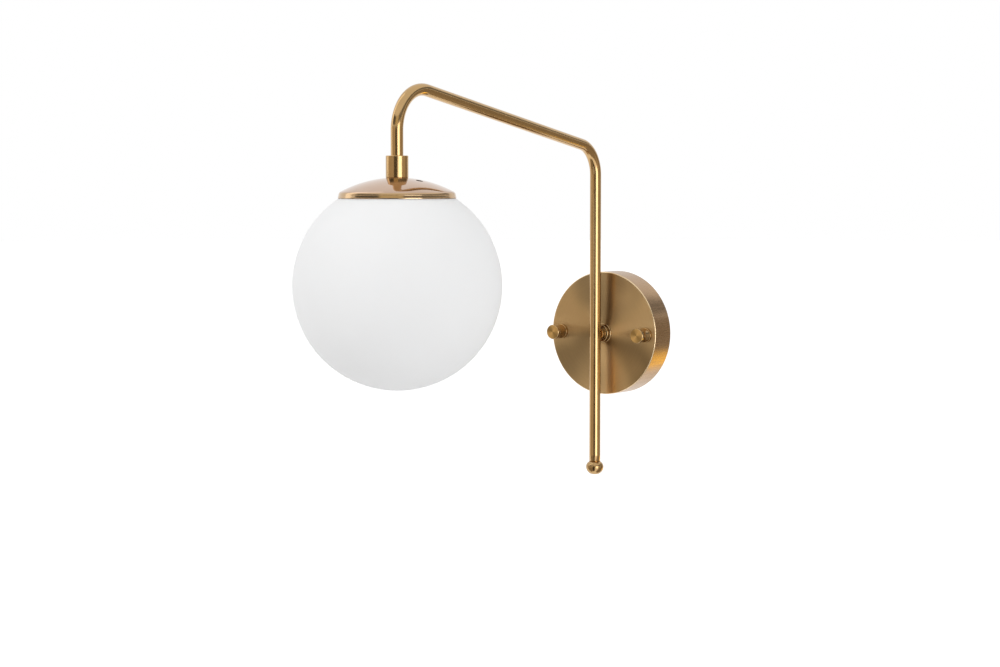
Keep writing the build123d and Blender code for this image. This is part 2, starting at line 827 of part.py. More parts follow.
with BuildPart() as bulb_contact:
    with BuildSketch(radial_plane(0)):
        with BuildLine():
            Line((0, pin_bottom), (0, lamp_tip))
            ThreePointArc(
                (0, lamp_tip),
                (lamp_contact_radius * 0.7, lamp_tip - lamp_contact_height * 0.3),
                (lamp_contact_radius, lamp_insulator_top + contact_edge),
            )
            Polyline(
                (lamp_contact_radius, lamp_insulator_top + contact_edge),
                (lamp_contact_radius, lamp_insulator_top + thread_gap),
                (contact_pin_radius - thread_gap, lamp_insulator_top + thread_gap),
                (contact_pin_radius - thread_gap, pin_bottom),
                (0, pin_bottom),
            )
        make_face()
    revolve(axis=globe_axis)
finish(bulb_contact, "bulb_contact")

glass_top = lamp_cap_bottom + lamp_glass_tuck
lamp_neck_rise = lamp_cap_bottom - lamp_ball_centre
tuck_radius = lamp_cap_bore - fit_gap
with BuildPart() as bulb_glass:
    with BuildSketch(radial_plane(0)) as glass_half:
        with Locations((0, lamp_ball_centre)):
            Circle(lamp_radius)
            Rectangle(lamp_neck_radius * 2, lamp_neck_rise, align=(Align.CENTER, Align.MIN))
        neck_corners = glass_half.vertices().group_by(Axis.Y)[-2]
        fillet(neck_corners, lamp_neck_round)
        with Locations((0, lamp_ball_centre)):
            Rectangle(tuck_radius * 2, glass_top - lamp_ball_centre, align=(Align.CENTER, Align.MIN))
            Rectangle(lamp_radius * 2, lamp_length * 2, align=(Align.MAX, Align.CENTER), mode=Mode.SUBTRACT)
    revolve(axis=globe_axis)
    offset(amount=-lamp_glass_wall, openings=bulb_glass.faces().sort_by(Axis.Z)[-1])
finish(bulb_glass, "bulb_glass")

filament_top = lamp_ball_centre + filament_length / 2
filament_bottom = lamp_ball_centre - filament_length / 2
flare_top = glass_top - stem_flare_thickness
flare_bottom = flare_top - stem_flare_thickness
flare_radius = tuck_radius - lamp_glass_wall - fit_gap
post_bottom = filament_bottom - filament_lead_inset
with BuildPart() as bulb_stem:
    with BuildSketch(radial_plane(0)):
        with BuildLine():
            Polyline(
                (0, flare_top),
                (flare_radius, flare_top),
                (flare_radius, flare_bottom),
                (stem_tube_radius + 1.0, flare_bottom - stem_flare_neck),
                (stem_tube_radius, flare_bottom - stem_flare_length),
                (stem_tube_radius, filament_top + stem_post_top * 2),
                (stem_post_radius, filament_top + stem_post_top),
                (stem_post_radius, post_bottom),
                (0, post_bottom),
                (0, flare_top),
            )
        make_face()
    revolve(axis=globe_axis)
finish(bulb_stem, "bulb_stem")

with BuildPart() as bulb_filaments:
    with BuildSketch(level(filament_bottom)):
        with PolarLocations(filament_offset, filament_count, start_angle=45):
            Circle(filament_radius)
    extrude(amount=filament_length)
finish(bulb_filaments, "bulb_filaments")

lead_length = filament_offset - filament_radius - stem_post_radius - 2 * fit_gap
with BuildPart() as bulb_leads:
    for height in (filament_bottom + filament_lead_inset, filament_top - filament_lead_inset):
        for number in range(filament_count):
            spoke = radial_plane(45 + number * 360 / filament_count)
            root = spoke.from_local_coords((stem_post_radius + fit_gap, height, 0))
            with BuildSketch(Plane(origin=root, z_dir=spoke.x_dir)):
                Circle(filament_lead_radius)
            extrude(amount=lead_length)
finish(bulb_leads, "bulb_leads")

# ---- globe: opal glass with a short open neck ----
neck_root = globe_centre + sqrt(globe_radius ** 2 - neck_radius ** 2)
inner_radius = globe_radius - globe_wall
neck_inner_root = globe_centre + sqrt(inner_radius ** 2 - neck_bore ** 2)
with BuildPart() as globe:
    with BuildSketch(radial_plane(0)):
        with BuildLine():
            ThreePointArc(
                (0, globe_centre - globe_radius), (globe_radius, globe_centre), (neck_radius, neck_root)
            )
            Polyline(
                (neck_radius, neck_root),
                (neck_radius, neck_top),
                (neck_bore, neck_top),
                (neck_bore, neck_inner_root),
            )
            ThreePointArc(
                (neck_bore, neck_inner_root), (inner_radius, globe_centre), (0, globe_centre - inner_radius)
            )
            Line((0, globe_centre - inner_radius), (0, globe_centre - globe_radius))
        make_face()
    revolve(axis=globe_axis)
    fillet(globe.edges().group_by(Axis.Z)[-1], neck_edge_round)
finish(globe, "globe")

# ---- terminal block on the bracket's lower leg ----
poles = [(number - (pole_count - 1) / 2) * pole_pitch for number in range(pole_count)]
block_back = bracket_thickness
block_front = block_back + block_depth
wire_distance = block_back + block_depth / 2
screw_heights = [block_centre - terminal_screw_spread, block_centre + terminal_screw_spread]

with BuildPart() as terminal_block:
    with BuildSketch(facing_out(0, block_back, block_centre)):
        Rectangle(block_length, block_height)
    extrude(amount=block_base)
    with BuildSketch(facing_out(0, block_back + block_base, block_centre)):
        with Locations(*[(x, 0) for x in poles]):
            RectangleRounded(block_tower_width, block_height, block_tower_round)
    extrude(amount=block_depth - block_base)
    with BuildSketch(level(block_top, distance=wire_distance)):
        with Locations(*[(x, 0) for x in poles]):
            Circle(sleeve_radius + fit_gap)
    extrude(amount=-block_height, mode=Mode.SUBTRACT)
    with BuildSketch(facing_out(0, wire_distance, 0)):
        with Locations(*[(x, z) for x in poles for z in screw_heights]):
            Circle(terminal_well_radius)
    extrude(amount=block_depth, mode=Mode.SUBTRACT)
    with BuildSketch(facing_out(0, block_back, 0)):
        with Locations(*block_screw_places):
            Circle(block_screw_radius + fit_gap)
    extrude(amount=block_depth, mode=Mode.SUBTRACT)
finish(terminal_block, "terminal_block")

with BuildPart() as terminal_sleeves:
    with BuildSketch(level(block_centre - sleeve_length / 2, distance=wire_distance)):
        with Locations(*[(x, 0) for x in poles]):
            Circle(sleeve_radius)
            Circle(sleeve_bore, mode=Mode.SUBTRACT)
    extrude(amount=sleeve_length)
    with BuildSketch(facing_out(0, wire_distance, 0)):
        with Locations(*[(x, z) for x in poles for z in screw_heights]):
            Circle(terminal_screw_radius + fit_gap)
    extrude(amount=block_depth, mode=Mode.SUBTRACT)
finish(terminal_sleeves, "terminal_sleeves")

with BuildPart() as terminal_screws:
    for x in poles:
        for z in screw_heights:
            add(
                pan_screw(
                    facing_out(x, block_front - terminal_screw_sink, z),
                    terminal_screw_head,
                    terminal_screw_head_height,
                    terminal_screw_radius,
                    terminal_screw_shank,
                )
            )
finish(terminal_screws, "terminal_screws")

with BuildPart() as block_screws:
    for x, z in block_screw_places:
        add(
            pan_screw(
                facing_out(x, block_back + block_base, z),
                block_screw_head,
                block_screw_head_height,
                block_screw_radius,
                block_base + bracket_thickness,
            )
        )
finish(block_screws, "block_screws")

# ---- protective earth on the bracket's upper leg ----
earth_wire_distance = bracket_thickness + lug_barrel_radius
lug_barrel_top = earth_screw_height - lug_radius - lug_neck_length
with BuildPart() as earth_lug:
    with BuildSketch(facing_out(0, bracket_thickness, earth_screw_height)):
        Circle(lug_radius)
        with Locations((0, -lug_radius)):
            Rectangle(lug_neck_width, lug_neck_length * 2)
        Circle(stud_radius + fit_gap, mode=Mode.SUBTRACT)
    extrude(amount=lug_thickness)
    with BuildSketch(level(lug_barrel_top, distance=earth_wire_distance)):
        Circle(lug_barrel_radius)
        Circle(wire_radius + fit_gap, mode=Mode.SUBTRACT)
    extrude(amount=-lug_barrel_length)
finish(earth_lug, "earth_lug")

with BuildPart() as earth_screw:
    add(
        pan_screw(
            facing_out(0, bracket_thickness + lug_thickness, earth_screw_height),
            earth_screw_head,
            earth_screw_head_height,
            stud_radius,
            bracket_thickness + lug_thickness,
        )
    )
finish(earth_screw, "earth_screw")

earth_points = [
    (0, -earth_wire_distance, lug_barrel_top - earth_wire_inset),
    (0, -earth_wire_distance, earth_wire_turn),
    (0, -wire_distance, block_top + earth_wire_rise),
    (0, -wire_distance, block_top - wire_grip),
]
with BuildPart() as earth_wire:
    with BuildLine() as earth_route:
        FilletPolyline(*earth_points, radius=earth_bend_radii)
    with BuildSketch(Plane(origin=earth_points[0], z_dir=(0, 0, -1))):
        Circle(wire_radius)
    sweep(path=earth_route.line)
finish(earth_wire, "earth_wire")

# ---- live and neutral wires through spacer and tube to the lampholder ----
block_side = poles[-1]
for name, side in (("live_wire", -1), ("neutral_wire", 1)):
    spread = side * wire_spread
    pole = side * block_side
    end = side * wire_holder_offset
    points = [
        (pole, -wire_distance, block_top - wire_grip),
        (pole, -wire_distance, block_top + wire_block_rise),
        (spread, -(wire_distance + bracket_thickness), 0),
        (spread, -tube_stand_off, 0),
        (spread, -tube_stand_off, elbow_height),
        (spread, -reach, outer_elbow_height),
        (spread, -reach, holder_nipple_bottom - wire_fan_drop),
        (end, -reach, holder_joint + wire_holder_straight),
        (end, -reach, holder_joint - wire_hole_depth + thread_gap),
    ]
    with BuildPart() as wire:
        with BuildLine() as wire_route:
            FilletPolyline(*points, radius=wire_bend_radii)
        with BuildSketch(Plane(origin=points[0], z_dir=(0, 0, 1))):
            Circle(wire_radius)
        sweep(path=wire_route.line)
    finish(wire, name)
    length = wire_route.wire().length
    bulk = pi * wire_radius ** 2 * length
    ratio = wire.part.volume / bulk
    print(f"{name}: length {length:.1f}, radii {wire_bend_radii}, volume ratio {ratio:.4f}")
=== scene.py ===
"""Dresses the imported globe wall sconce: turned brass, opal glass, lampholder, lamp and wiring.

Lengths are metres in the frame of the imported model: the wall plane is y = 0, the lamp reaches out
along -Y and +Z is up.
"""
from math import acos, asin, cos, degrees, pi, radians, sin, sqrt, tan

import bmesh
import bpy
from bpy.props import FloatProperty, FloatVectorProperty, IntProperty, PointerProperty
from mathutils import Matrix, Vector


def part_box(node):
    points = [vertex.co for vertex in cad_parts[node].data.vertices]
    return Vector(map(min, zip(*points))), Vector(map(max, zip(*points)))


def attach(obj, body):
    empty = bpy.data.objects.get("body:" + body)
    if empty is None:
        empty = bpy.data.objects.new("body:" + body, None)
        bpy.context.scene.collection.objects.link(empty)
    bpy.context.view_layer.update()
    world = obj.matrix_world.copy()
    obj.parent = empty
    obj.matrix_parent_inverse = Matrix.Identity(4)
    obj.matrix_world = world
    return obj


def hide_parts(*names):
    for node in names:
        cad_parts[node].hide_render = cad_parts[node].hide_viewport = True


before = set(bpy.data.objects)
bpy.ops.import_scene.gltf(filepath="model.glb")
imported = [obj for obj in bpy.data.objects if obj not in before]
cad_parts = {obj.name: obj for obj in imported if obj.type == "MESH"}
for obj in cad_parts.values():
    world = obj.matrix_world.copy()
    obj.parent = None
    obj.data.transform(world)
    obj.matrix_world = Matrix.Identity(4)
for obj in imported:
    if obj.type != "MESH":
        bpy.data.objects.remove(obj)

bl_info = {
    "name": "Globe wall sconce",
    "version": (1, 0, 0),
    "blender": (4, 5, 0),
    "location": "3D View > Sidebar > Sconce",
    "description": "Builds the visible pieces of a brass globe wall sconce around its packed solids",
    "category": "Object",
}

MM = 0.001
UPRIGHT = Matrix.Identity(4)
OUT_FROM_WALL = Matrix.Rotation(pi / 2, 4, "X")
LAMP_PITCH = 25.4 / 7 * MM
M10_PIPE = {
    "radius": 4.98 * MM, "depth": 0.35 * MM, "pitch": 1.0 * MM, "bore": 3.6 * MM, "steps": 56,
}


def low(node):
    """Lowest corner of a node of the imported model."""
    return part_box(node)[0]


def high(node):
    """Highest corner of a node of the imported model."""
    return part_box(node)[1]


def centre_of(node):
    """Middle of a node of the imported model."""
    return (low(node) + high(node)) / 2


def lamp_axis():
    """Foot of the upright line through the collar, cap, globe, lampholder and lamp."""
    return Vector((0, -bpy.context.scene.sconce_arm.reach, 0))


def rod_axis():
    """Foot of the tube's upright line before the wall plate."""
    return Vector((0, -bpy.context.scene.sconce_arm.stand_off, 0))


# ---- sizes and colours ----
def size(default, name, description):
    """A length that a user can change."""
    return FloatProperty(
        name=name, description=description, default=default, min=0.0, precision=5,
        unit="LENGTH", subtype="DISTANCE",
    )


def slope(default, name, description):
    """An angle that a user can change, its default given in degrees."""
    return FloatProperty(
        name=name, description=description, default=radians(default),
        unit="ROTATION", subtype="ANGLE",
    )


def colour(default, name, description):
    """A surface colour that a user can change."""
    return FloatVectorProperty(
        name=name, description=description, default=default, size=3, min=0.0, max=1.0,
        subtype="COLOR",
    )


class SconceArmSizes(bpy.types.PropertyGroup):
    tube_radius: size(4.5 * MM, "Tube radius", "Outer radius of the bent tube")
    tube_wall: size(0.8 * MM, "Tube wall", "Thickness of the tube's wall")
    stand_off: size(35 * MM, "Stand-off", "Distance from the wall to the upright tube's middle")
    reach: size(293 * MM, "Reach", "Distance from the wall to the globe's centre line")
    elbow_height: size(149.1 * MM, "Elbow height", "Height of the corner above the wall bend")
    rise: slope(10.18, "Rise", "Slope of the arm above level")
    wall_bend: size(25 * MM, "Wall bend", "Radius of the bend over the wall plate")
    outer_bend: size(30 * MM, "Outer bend", "Radius of the bend over the globe")
    tube_sides: IntProperty(
        name="Tube sides", description="Faces round the tube", default=64, min=16, max=128
    )


class SconceGlassSizes(bpy.types.PropertyGroup):
    globe_radius: size(75 * MM, "Globe radius", "Outer radius of the opal globe")
    globe_wall: size(2.6 * MM, "Globe wall", "Thickness of the opal glass")
    neck_radius: size(40 * MM, "Neck radius", "Outer radius of the globe's neck")
    lamp_radius: size(22.5 * MM, "Lamp radius", "Radius of the lamp's ball")
    lamp_wall: size(0.8 * MM, "Lamp wall", "Thickness of the lamp's glass")


class SconceFinishes(bpy.types.PropertyGroup):
    tube_brass: colour((0.54, 0.350, 0.160), "Tube brass", "Satin brass of tube, collar and finial")
    plate_brass: colour((0.70, 0.480, 0.240), "Plate brass", "Antique brass of the backplate")
    nut_brass: colour((0.76, 0.48, 0.18), "Nut brass", "Turned brass of the thumb nuts")
    cap_brass: colour((0.58, 0.415, 0.31), "Cap brass", "Polished brass of the dome cap")
    opal: colour((0.90, 0.90, 0.90), "Opal", "White of the opal glass")
    zinc: colour((0.50, 0.51, 0.53), "Zinc", "Zinc plating of the bracket and fasteners")


class SconceStage(bpy.types.PropertyGroup):
    lens: FloatProperty(
        name="Lens", description="Focal length in millimetres", default=79.88, min=10.0
    )
    camera_place: FloatVectorProperty(
        name="Camera place", description="Where the camera stands",
        default=(0.9833, -1.5377, 0.1251), size=3, precision=4,
        unit="LENGTH", subtype="TRANSLATION",
    )
    turn: slope(35.66, "Turn", "Camera's turn to the left")
    tilt: slope(-3.98, "Tilt", "Camera's tilt above level")
    floor_drop: size(0.75, "Floor drop", "Depth of the floor below the middle of the backplate")
    card_distance: size(2.2, "Card distance", "Distance of the studio's cards from the light")


GROUPS = {
    "sconce_arm": SconceArmSizes,
    "sconce_glass": SconceGlassSizes,
    "sconce_finish": SconceFinishes,
    "sconce_stage": SconceStage,
}


# ---- materials ----
def add_node(tree, kind, values=None, **settings):
    """Adds a shader node. A value that is another node's output is linked to its socket."""
    made = tree.nodes.new(kind)
    for key, value in settings.items():
        setattr(made, key, value)
    for key, value in (values or {}).items():
        if hasattr(value, "is_output"):
            tree.links.new(value, made.inputs[key])
        else:
            made.inputs[key].default_value = value
    return made


class Finish:
    """A material built round one Principled shader, with short calls for its nodes."""

    def __init__(self, name, base, roughness, metallic=0.0, **values):
        self.material = bpy.data.materials.new(f"{name}_finish")
        self.material.use_nodes = True
        self.material.diffuse_color = (*base, 1.0)
        self.tree = self.material.node_tree
        self.shader = self.tree.nodes["Principled BSDF"]
        self.base = base
        self.roughness = roughness
        values.update(Base_Color=(*base, 1.0), Roughness=roughness, Metallic=metallic)
        for key, value in values.items():
            self.shader.inputs[key.replace("_", " ")].default_value = value

    def node(self, kind, values=None, **settings):
        return add_node(self.tree, kind, values, **settings)

    def join(self, source, socket):
        self.tree.links.new(source, self.shader.inputs[socket])

    def place(self, offset=(0, 0, 0), scale=(1, 1, 1)):
        """Object coordinates, centred on a place of the piece."""
        source = self.node("ShaderNodeTexCoord").outputs["Object"]
        values = {"Vector": source, "Location": [-x for x in offset]}
        moved = self.node("ShaderNodeMapping", values).outputs["Vector"]
        if scale == (1, 1, 1):
            return moved
        return self.node("ShaderNodeMapping", {"Vector": moved, "Scale": scale}).outputs["Vector"]

    def math(self, operation, first, second=0.0):
        return self.node("ShaderNodeMath", {0: first, 1: second}, operation=operation).outputs[0]

    def vector_math(self, operation, first, second=(0, 0, 0)):
        return self.node("ShaderNodeVectorMath", {0: first, 1: second}, operation=operation).outputs

    def blend(self, first, second, share):
        """Two values mixed, the second by its share."""
        kept = self.math("MULTIPLY", first, 1.0 - share)
        return self.math("ADD", kept, self.math("MULTIPLY", second, share))

    def noise(self, vector, scale, detail, rough, dimensions="3D"):
        values = {"Scale": scale, "Detail": detail, "Roughness": rough}
        values["W" if dimensions == "1D" else "Vector"] = vector
        return self.node("ShaderNodeTexNoise", values, noise_dimensions=dimensions).outputs["Fac"]

    def spread(self, value, low_in, high_in, low_out=0.0, high_out=1.0):
        """A value taken from one range to another and kept inside it."""
        values = {
            "Value": value, "From Min": low_in, "From Max": high_in,
            "To Min": low_out, "To Max": high_out,
        }
        return self.node("ShaderNodeMapRange", values).outputs["Result"]

    def shade(self, value, other):
        """The base colour, turned towards another by a value from 0 to 1."""
        values = {"Factor": value, "A": (*self.base, 1.0), "B": (*other, 1.0)}
        mixed = self.node("ShaderNodeMix", values, data_type="RGBA")
        self.join(next(s for s in mixed.outputs if s.type == "RGBA"), "Base Color")

    def clouds(self, place, scale, detail, rough, other):
        """Soft clouds of another tone, whose pattern is given back."""
        pattern = self.noise(place, scale, detail, rough)
        self.shade(self.spread(pattern, 0.35, 0.7), other)
        return pattern

    def vary_roughness(self, value, below, above):
        dull, bright = self.roughness + above, self.roughness - below
        self.join(self.spread(value, 0.3, 0.7, bright, dull), "Roughness")

    def bump(self, height, distance, strength):
        values = {"Height": height, "Distance": distance, "Strength": strength}
        self.join(self.node("ShaderNodeBump", values).outputs["Normal"], "Normal")

    def turned_tangent(self, vector, axis):
        """Sets the brushing in circles round an axis, and gives the distance from it."""
        flat = [1.0 - x for x in axis]
        away = self.vector_math("MULTIPLY", vector, flat)[0]
        self.join(self.vector_math("NORMALIZE", away)[0], "Tangent")
        return self.vector_math("LENGTH", away)["Value"]


def darker(base, share):
    """A colour with part of its light taken away."""
    return tuple(x * share for x in base)


def brushed_in_circles(
    name, base, roughness, axis, centre, anisotropy, rings=9000.0, relief=0.12, painted_sheen_sectors=None
):
    """Metal brushed in circles round an axis. Painted sheen sectors, light and dark wedges round the
    axis painted into the base colour, are a share, a first angle and a count.
    """
    metal = Finish(name, base, roughness, 1.0, Anisotropic=anisotropy)
    place = metal.place(centre)
    radius = metal.turned_tangent(place, axis)
    fine = metal.noise(radius, rings, 2.0, 0.6, "1D")
    broad = metal.noise(radius, rings / 9, 2.0, 0.5, "1D")
    grooves = metal.blend(fine, broad, 0.4)
    toned = metal.blend(grooves, metal.noise(place, 60.0, 3.0, 0.55), 0.25)
    shade, darkest = metal.spread(toned, 0.35, 0.65), 0.74
    # Painted sheen: wedges round the axis, lighter and darker in the base colour, stand in for the
    # bow-tie reflection of the brushing; the darkest tone drops to 0.44 for them.
    if painted_sheen_sectors:
        share, first, count = painted_sheen_sectors
        parts = metal.node("ShaderNodeSeparateXYZ", {"Vector": place}).outputs
        angle = metal.math("ARCTAN2", parts["Z"], parts["X"])
        waver = metal.spread(metal.noise(place, 26.0, 1.0, 0.4), 0.3, 0.7, -0.35, 0.35)
        turned_on = metal.math("SUBTRACT", metal.math("ADD", angle, waver), first)
        painted_sheen_wave = metal.math("COSINE", metal.math("MULTIPLY", turned_on, count))
        painted_sheen_dark = metal.spread(painted_sheen_wave, -1.0, 1.0, 1.0, 0.0)
        shade, darkest = metal.blend(shade, painted_sheen_dark, share), 0.44
    metal.shade(shade, darker(base, darkest))
    metal.vary_roughness(grooves, 0.04, 0.05)
    metal.bump(grooves, 0.00001, relief)


def polished(name, base, roughness, along=(1, 1, 0.06)):
    """Polished metal with faint clouds, and hairlines that only its sheen shows."""
    metal = Finish(name, base, roughness, 1.0)
    metal.clouds(metal.place(), 45.0, 4.0, 0.55, darker(base, 0.90))
    hair = metal.noise(metal.place(scale=along), 900.0, 2.0, 0.5)
    metal.vary_roughness(hair, roughness * 0.12, roughness * 0.15)


def plated(name, base, roughness):
    """Zinc plated steel with a fine mottled grain."""
    metal = Finish(name, base, roughness, 1.0)
    place = metal.place()
    cells = metal.node("ShaderNodeTexVoronoi", {"Vector": place, "Scale": 900.0})
    yellowed = (base[0] * 0.78, base[1] * 0.76, base[2] * 0.66)
    cloud = metal.clouds(place, 120.0, 4.0, 0.6, yellowed)
    metal.vary_roughness(cloud, 0.08, 0.10)
    metal.bump(cells.outputs["Distance"], 0.00002, 0.25)


def moulded(name, base, roughness, grain=1500.0, specular=0.5, depth=0.00002):
    """Moulded plastic or fired ceramic with a fine skin."""
    skin = Finish(name, base, roughness, 0.0, Specular_IOR_Level=specular)
    place = skin.place()
    fine = skin.noise(place, grain, 3.0, 0.6)
    skin.clouds(place, 70.0, 3.0, 0.5, darker(base, 0.86))
    skin.vary_roughness(fine, 0.05, 0.07)
    skin.bump(fine, depth, 0.5)


def clear_glass(name, tint):
    """Clear blown glass."""
    glass = Finish(name, tint, 0.0, 0.0, Transmission_Weight=1.0, IOR=1.48)
    glass.bump(glass.noise(glass.place(), 40.0, 2.0, 0.4), 0.00004, 0.3)


def opal_glass(name, base):
    """White cased glass with a satin skin."""
    glass = Finish(
        name, base, 0.62, 0.0, Specular_IOR_Level=0.08, IOR=1.45, Subsurface_Weight=0.35,
        Subsurface_Scale=0.006, Subsurface_Radius=(1.0, 0.96, 0.92),
    )
    place = glass.place()
    cloud = glass.clouds(place, 14.0, 3.0, 0.5, darker(base, 0.985))
    glass.vary_roughness(cloud, 0.03, 0.05)
    glass.bump(glass.noise(place, 2400.0, 2.0, 0.5), 0.000006, 0.4)


def striped_insulation(name, base, stripe):
    """Insulation of two colours, one on each side of the wire."""
    skin = Finish(name, base, 0.42)
    side = skin.node("ShaderNodeSeparateXYZ", {"Vector": skin.place()}).outputs["X"]
    skin.shade(skin.math("GREATER_THAN", side, 0.0), stripe)
    skin.bump(skin.noise(skin.place(), 1800.0, 2.0, 0.5), 0.00001, 0.4)


def make_finishes():
    """Makes every material of the light."""
    tones = bpy.context.scene.sconce_finish
    nut, tube = tuple(tones.nut_brass), tuple(tones.tube_brass)
    outward, upward, middle = (0, 1, 0), (0, 0, 1), (0, 0, 0)
    # Painted sheen: light and dark wedges painted into the base colour, three round the plate's face
    # and two round each nut's face.
    plate_painted_sheen = (0.88, radians(30), 3)
    nut_painted_sheen = (0.85, radians(62), 2)
    brushed_in_circles(
        "plate_brass", tuple(tones.plate_brass), 0.40, outward, middle, 0.94,
        relief=0.2, painted_sheen_sectors=plate_painted_sheen,
    )
    for side in ("left", "right"):
        brushed_in_circles(
            f"{side}_nut_brass", nut, 0.30, outward, centre_of(f"{side}_nut"), 0.8,
            rings=12000.0, relief=0.3, painted_sheen_sectors=nut_painted_sheen,
        )
    # Painted shade: the spacer is a darker copy of the turned brass, standing in for the shade
    # behind the tube.
    brushed_in_circles("spacer_brass_painted_shade", (0.44, 0.30, 0.15), 0.14, outward, middle, 0.4, 12000.0)
    brushed_in_circles("finial_brass", tube, 0.16, upward, rod_axis(), 0.3, 6000.0, 0.04)
    polished("plate_side_brass", (0.44, 0.28, 0.15), 0.27, along=(1, 0.06, 1))
    # Painted highlight: the drum's rounded front edge gets a much lighter copy of the brass; its
    # lower roughness is real polish.
    polished("plate_edge_brass_painted_highlight", (0.86, 0.66, 0.42), 0.24)
    # Painted shade: the nuts' necks, barrels and feet get this darker copy of the nut brass.
    polished("nut_side_brass_painted_shade", (0.40, 0.265, 0.13), 0.13)
    polished("tube_brass", tube, 0.16, along=(0.3, 0.3, 0.3))
    polished("collar_brass", tube, 0.17)
    polished("cap_brass", tuple(tones.cap_brass), 0.07)
    polished("cap_rim_brass", (0.57, 0.39, 0.22), 0.15)
    polished("contact_brass", (0.74, 0.54, 0.24), 0.22)
    polished("nickel_cap", (0.62, 0.62, 0.61), 0.24)
    polished("spring_steel", (0.52, 0.53, 0.55), 0.24)
    plated("zinc_steel", tuple(tones.zinc), 0.36)
    plated("terminal_steel", (0.58, 0.58, 0.56), 0.30)
    # Painted shade: a near-black, dull skin that is no metal, inside the vents and under the dome.
    moulded("cap_inside_painted_shade", (0.06, 0.04, 0.025), 0.6)
    moulded("black_phenolic", (0.022, 0.022, 0.024), 0.30)
    moulded("porcelain", (0.80, 0.79, 0.75), 0.38, specular=0.6)
    moulded("lamp_insulator", (0.018, 0.018, 0.024), 0.16, specular=0.7)
    moulded("phosphor", (0.86, 0.60, 0.12), 0.62, 2600.0, 0.3, 0.00004)
    moulded("terminal_plastic", (0.78, 0.79, 0.76), 0.42)
    moulded("brown_insulation", (0.10, 0.040, 0.018), 0.42)
    moulded("blue_insulation", (0.02, 0.09, 0.42), 0.42)
    striped_insulation("green_yellow_insulation", (0.02, 0.22, 0.05), (0.72, 0.52, 0.02))
    opal_glass("opal_glass", tuple(tones.opal))
    clear_glass("lamp_glass", (0.97, 0.98, 0.98))


def material(name):
    """One of the light's materials, which are made together on first use."""
    if "plate_brass_finish" not in bpy.data.materials:
        make_finishes()
    return bpy.data.materials[f"{name}_finish"]


# ---- mesh helpers ----
def outlined(points, closed=False):
    """A mesh of one outline of (radius, height) points."""
    mesh = bmesh.new()
    verts = [mesh.verts.new((radius, 0, height)) for radius, height in points]
    for first, second in zip(verts, verts[1:]):
        mesh.edges.new((first, second))
    if closed:
        mesh.edges.new((verts[-1], verts[0]))
    return mesh


def spin(
    mesh, angle, steps, geometry=None, centre=(0, 0, 0), axis=(0, 0, 1), climb=0.0, merge=False
):
    """Spins a mesh or a part of it about an axis, and climbs at each step where asked."""
    return bmesh.ops.spin(
        mesh, geom=geometry or mesh.verts[:] + mesh.edges[:], cent=centre, axis=axis,
        dvec=(0, 0, climb), angle=angle, steps=steps, use_merge=merge, use_duplicate=False,
    )


def turned(outline, centre=(0, 0, 0), turn=UPRIGHT, steps=96, closed=False):
    """A turned shape: an outline spun round its axis, then turned and moved to its place."""
    mesh = outlined(outline, closed)
    spin(mesh, 2 * pi, steps, merge=True)
    bmesh.ops.remove_doubles(mesh, verts=mesh.verts, dist=1e-7)
    bmesh.ops.recalc_face_normals(mesh, faces=mesh.faces)
    bmesh.ops.transform(mesh, matrix=Matrix.Translation(centre) @ turn, verts=mesh.verts)
    return mesh


def soften(mesh, width, above=28.0, segments=3):
    """Rounds the corners of a turned shape that are sharper than an angle in degrees."""
    corners = [e for e in mesh.edges if e.is_manifold and e.calc_face_angle() > radians(above)]
    bmesh.ops.bevel(
        mesh, geom=corners, offset=width, offset_type="OFFSET", affect="EDGES",
        segments=segments, profile=0.5, material=-1, clamp_overlap=True,
    )


def arc(centre, radius, first, last, steps):
    """Points on an arc, its ends given as angles in degrees from the radius direction."""
    angles = [radians(first + (last - first) * step / steps) for step in range(steps + 1)]
    return [(centre[0] + radius * cos(a), centre[1] + radius * sin(a)) for a in angles]


def object_of(mesh, name):
    """Makes an object of the scene of a mesh, which is used up."""
    data = bpy.data.meshes.new(name)
    mesh.to_mesh(data)
    mesh.free()
    item = bpy.data.objects.new(name, data)
    bpy.context.scene.collection.objects.link(item)
    return item


def place_piece(mesh, name, finish, body, slot, *nodes, sharp=40.0, weighted=True):
    """Makes a piece of a mesh, with its finish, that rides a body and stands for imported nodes."""
    for face in mesh.faces:
        face.smooth = True
    for edge in mesh.edges:
        if edge.is_manifold and edge.calc_face_angle() > radians(sharp):
            edge.smooth = False
    piece = object_of(mesh, name)
    piece.data.materials.append(material(finish))
    if weighted:
        normals = piece.modifiers.new("even_normals", "WEIGHTED_NORMAL")
        normals.keep_sharp = True
        normals.weight = 80
    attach(piece, body)
    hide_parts(*nodes)
    return piece


def refinish(piece, finish, chosen):
    """Gives another finish to the faces that a test picks by their middle and normal."""
    index = len(piece.data.materials)
    piece.data.materials.append(material(finish))
    for face in piece.data.polygons:
        if chosen(face.center, face.normal):
            face.material_index = index


def dress(finish, *nodes):
    """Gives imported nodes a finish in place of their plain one."""
    for name in nodes:
        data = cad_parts[name].data
        data.materials.clear()
        data.materials.append(material(finish))


def add_wall(piece, thickness):
    """Gives an open sheet its thickness, inwards from its outer face."""
    wall = piece.modifiers.new("wall", "SOLIDIFY")
    wall.thickness = thickness
    wall.offset = -1.0
    wall.use_even_offset = True


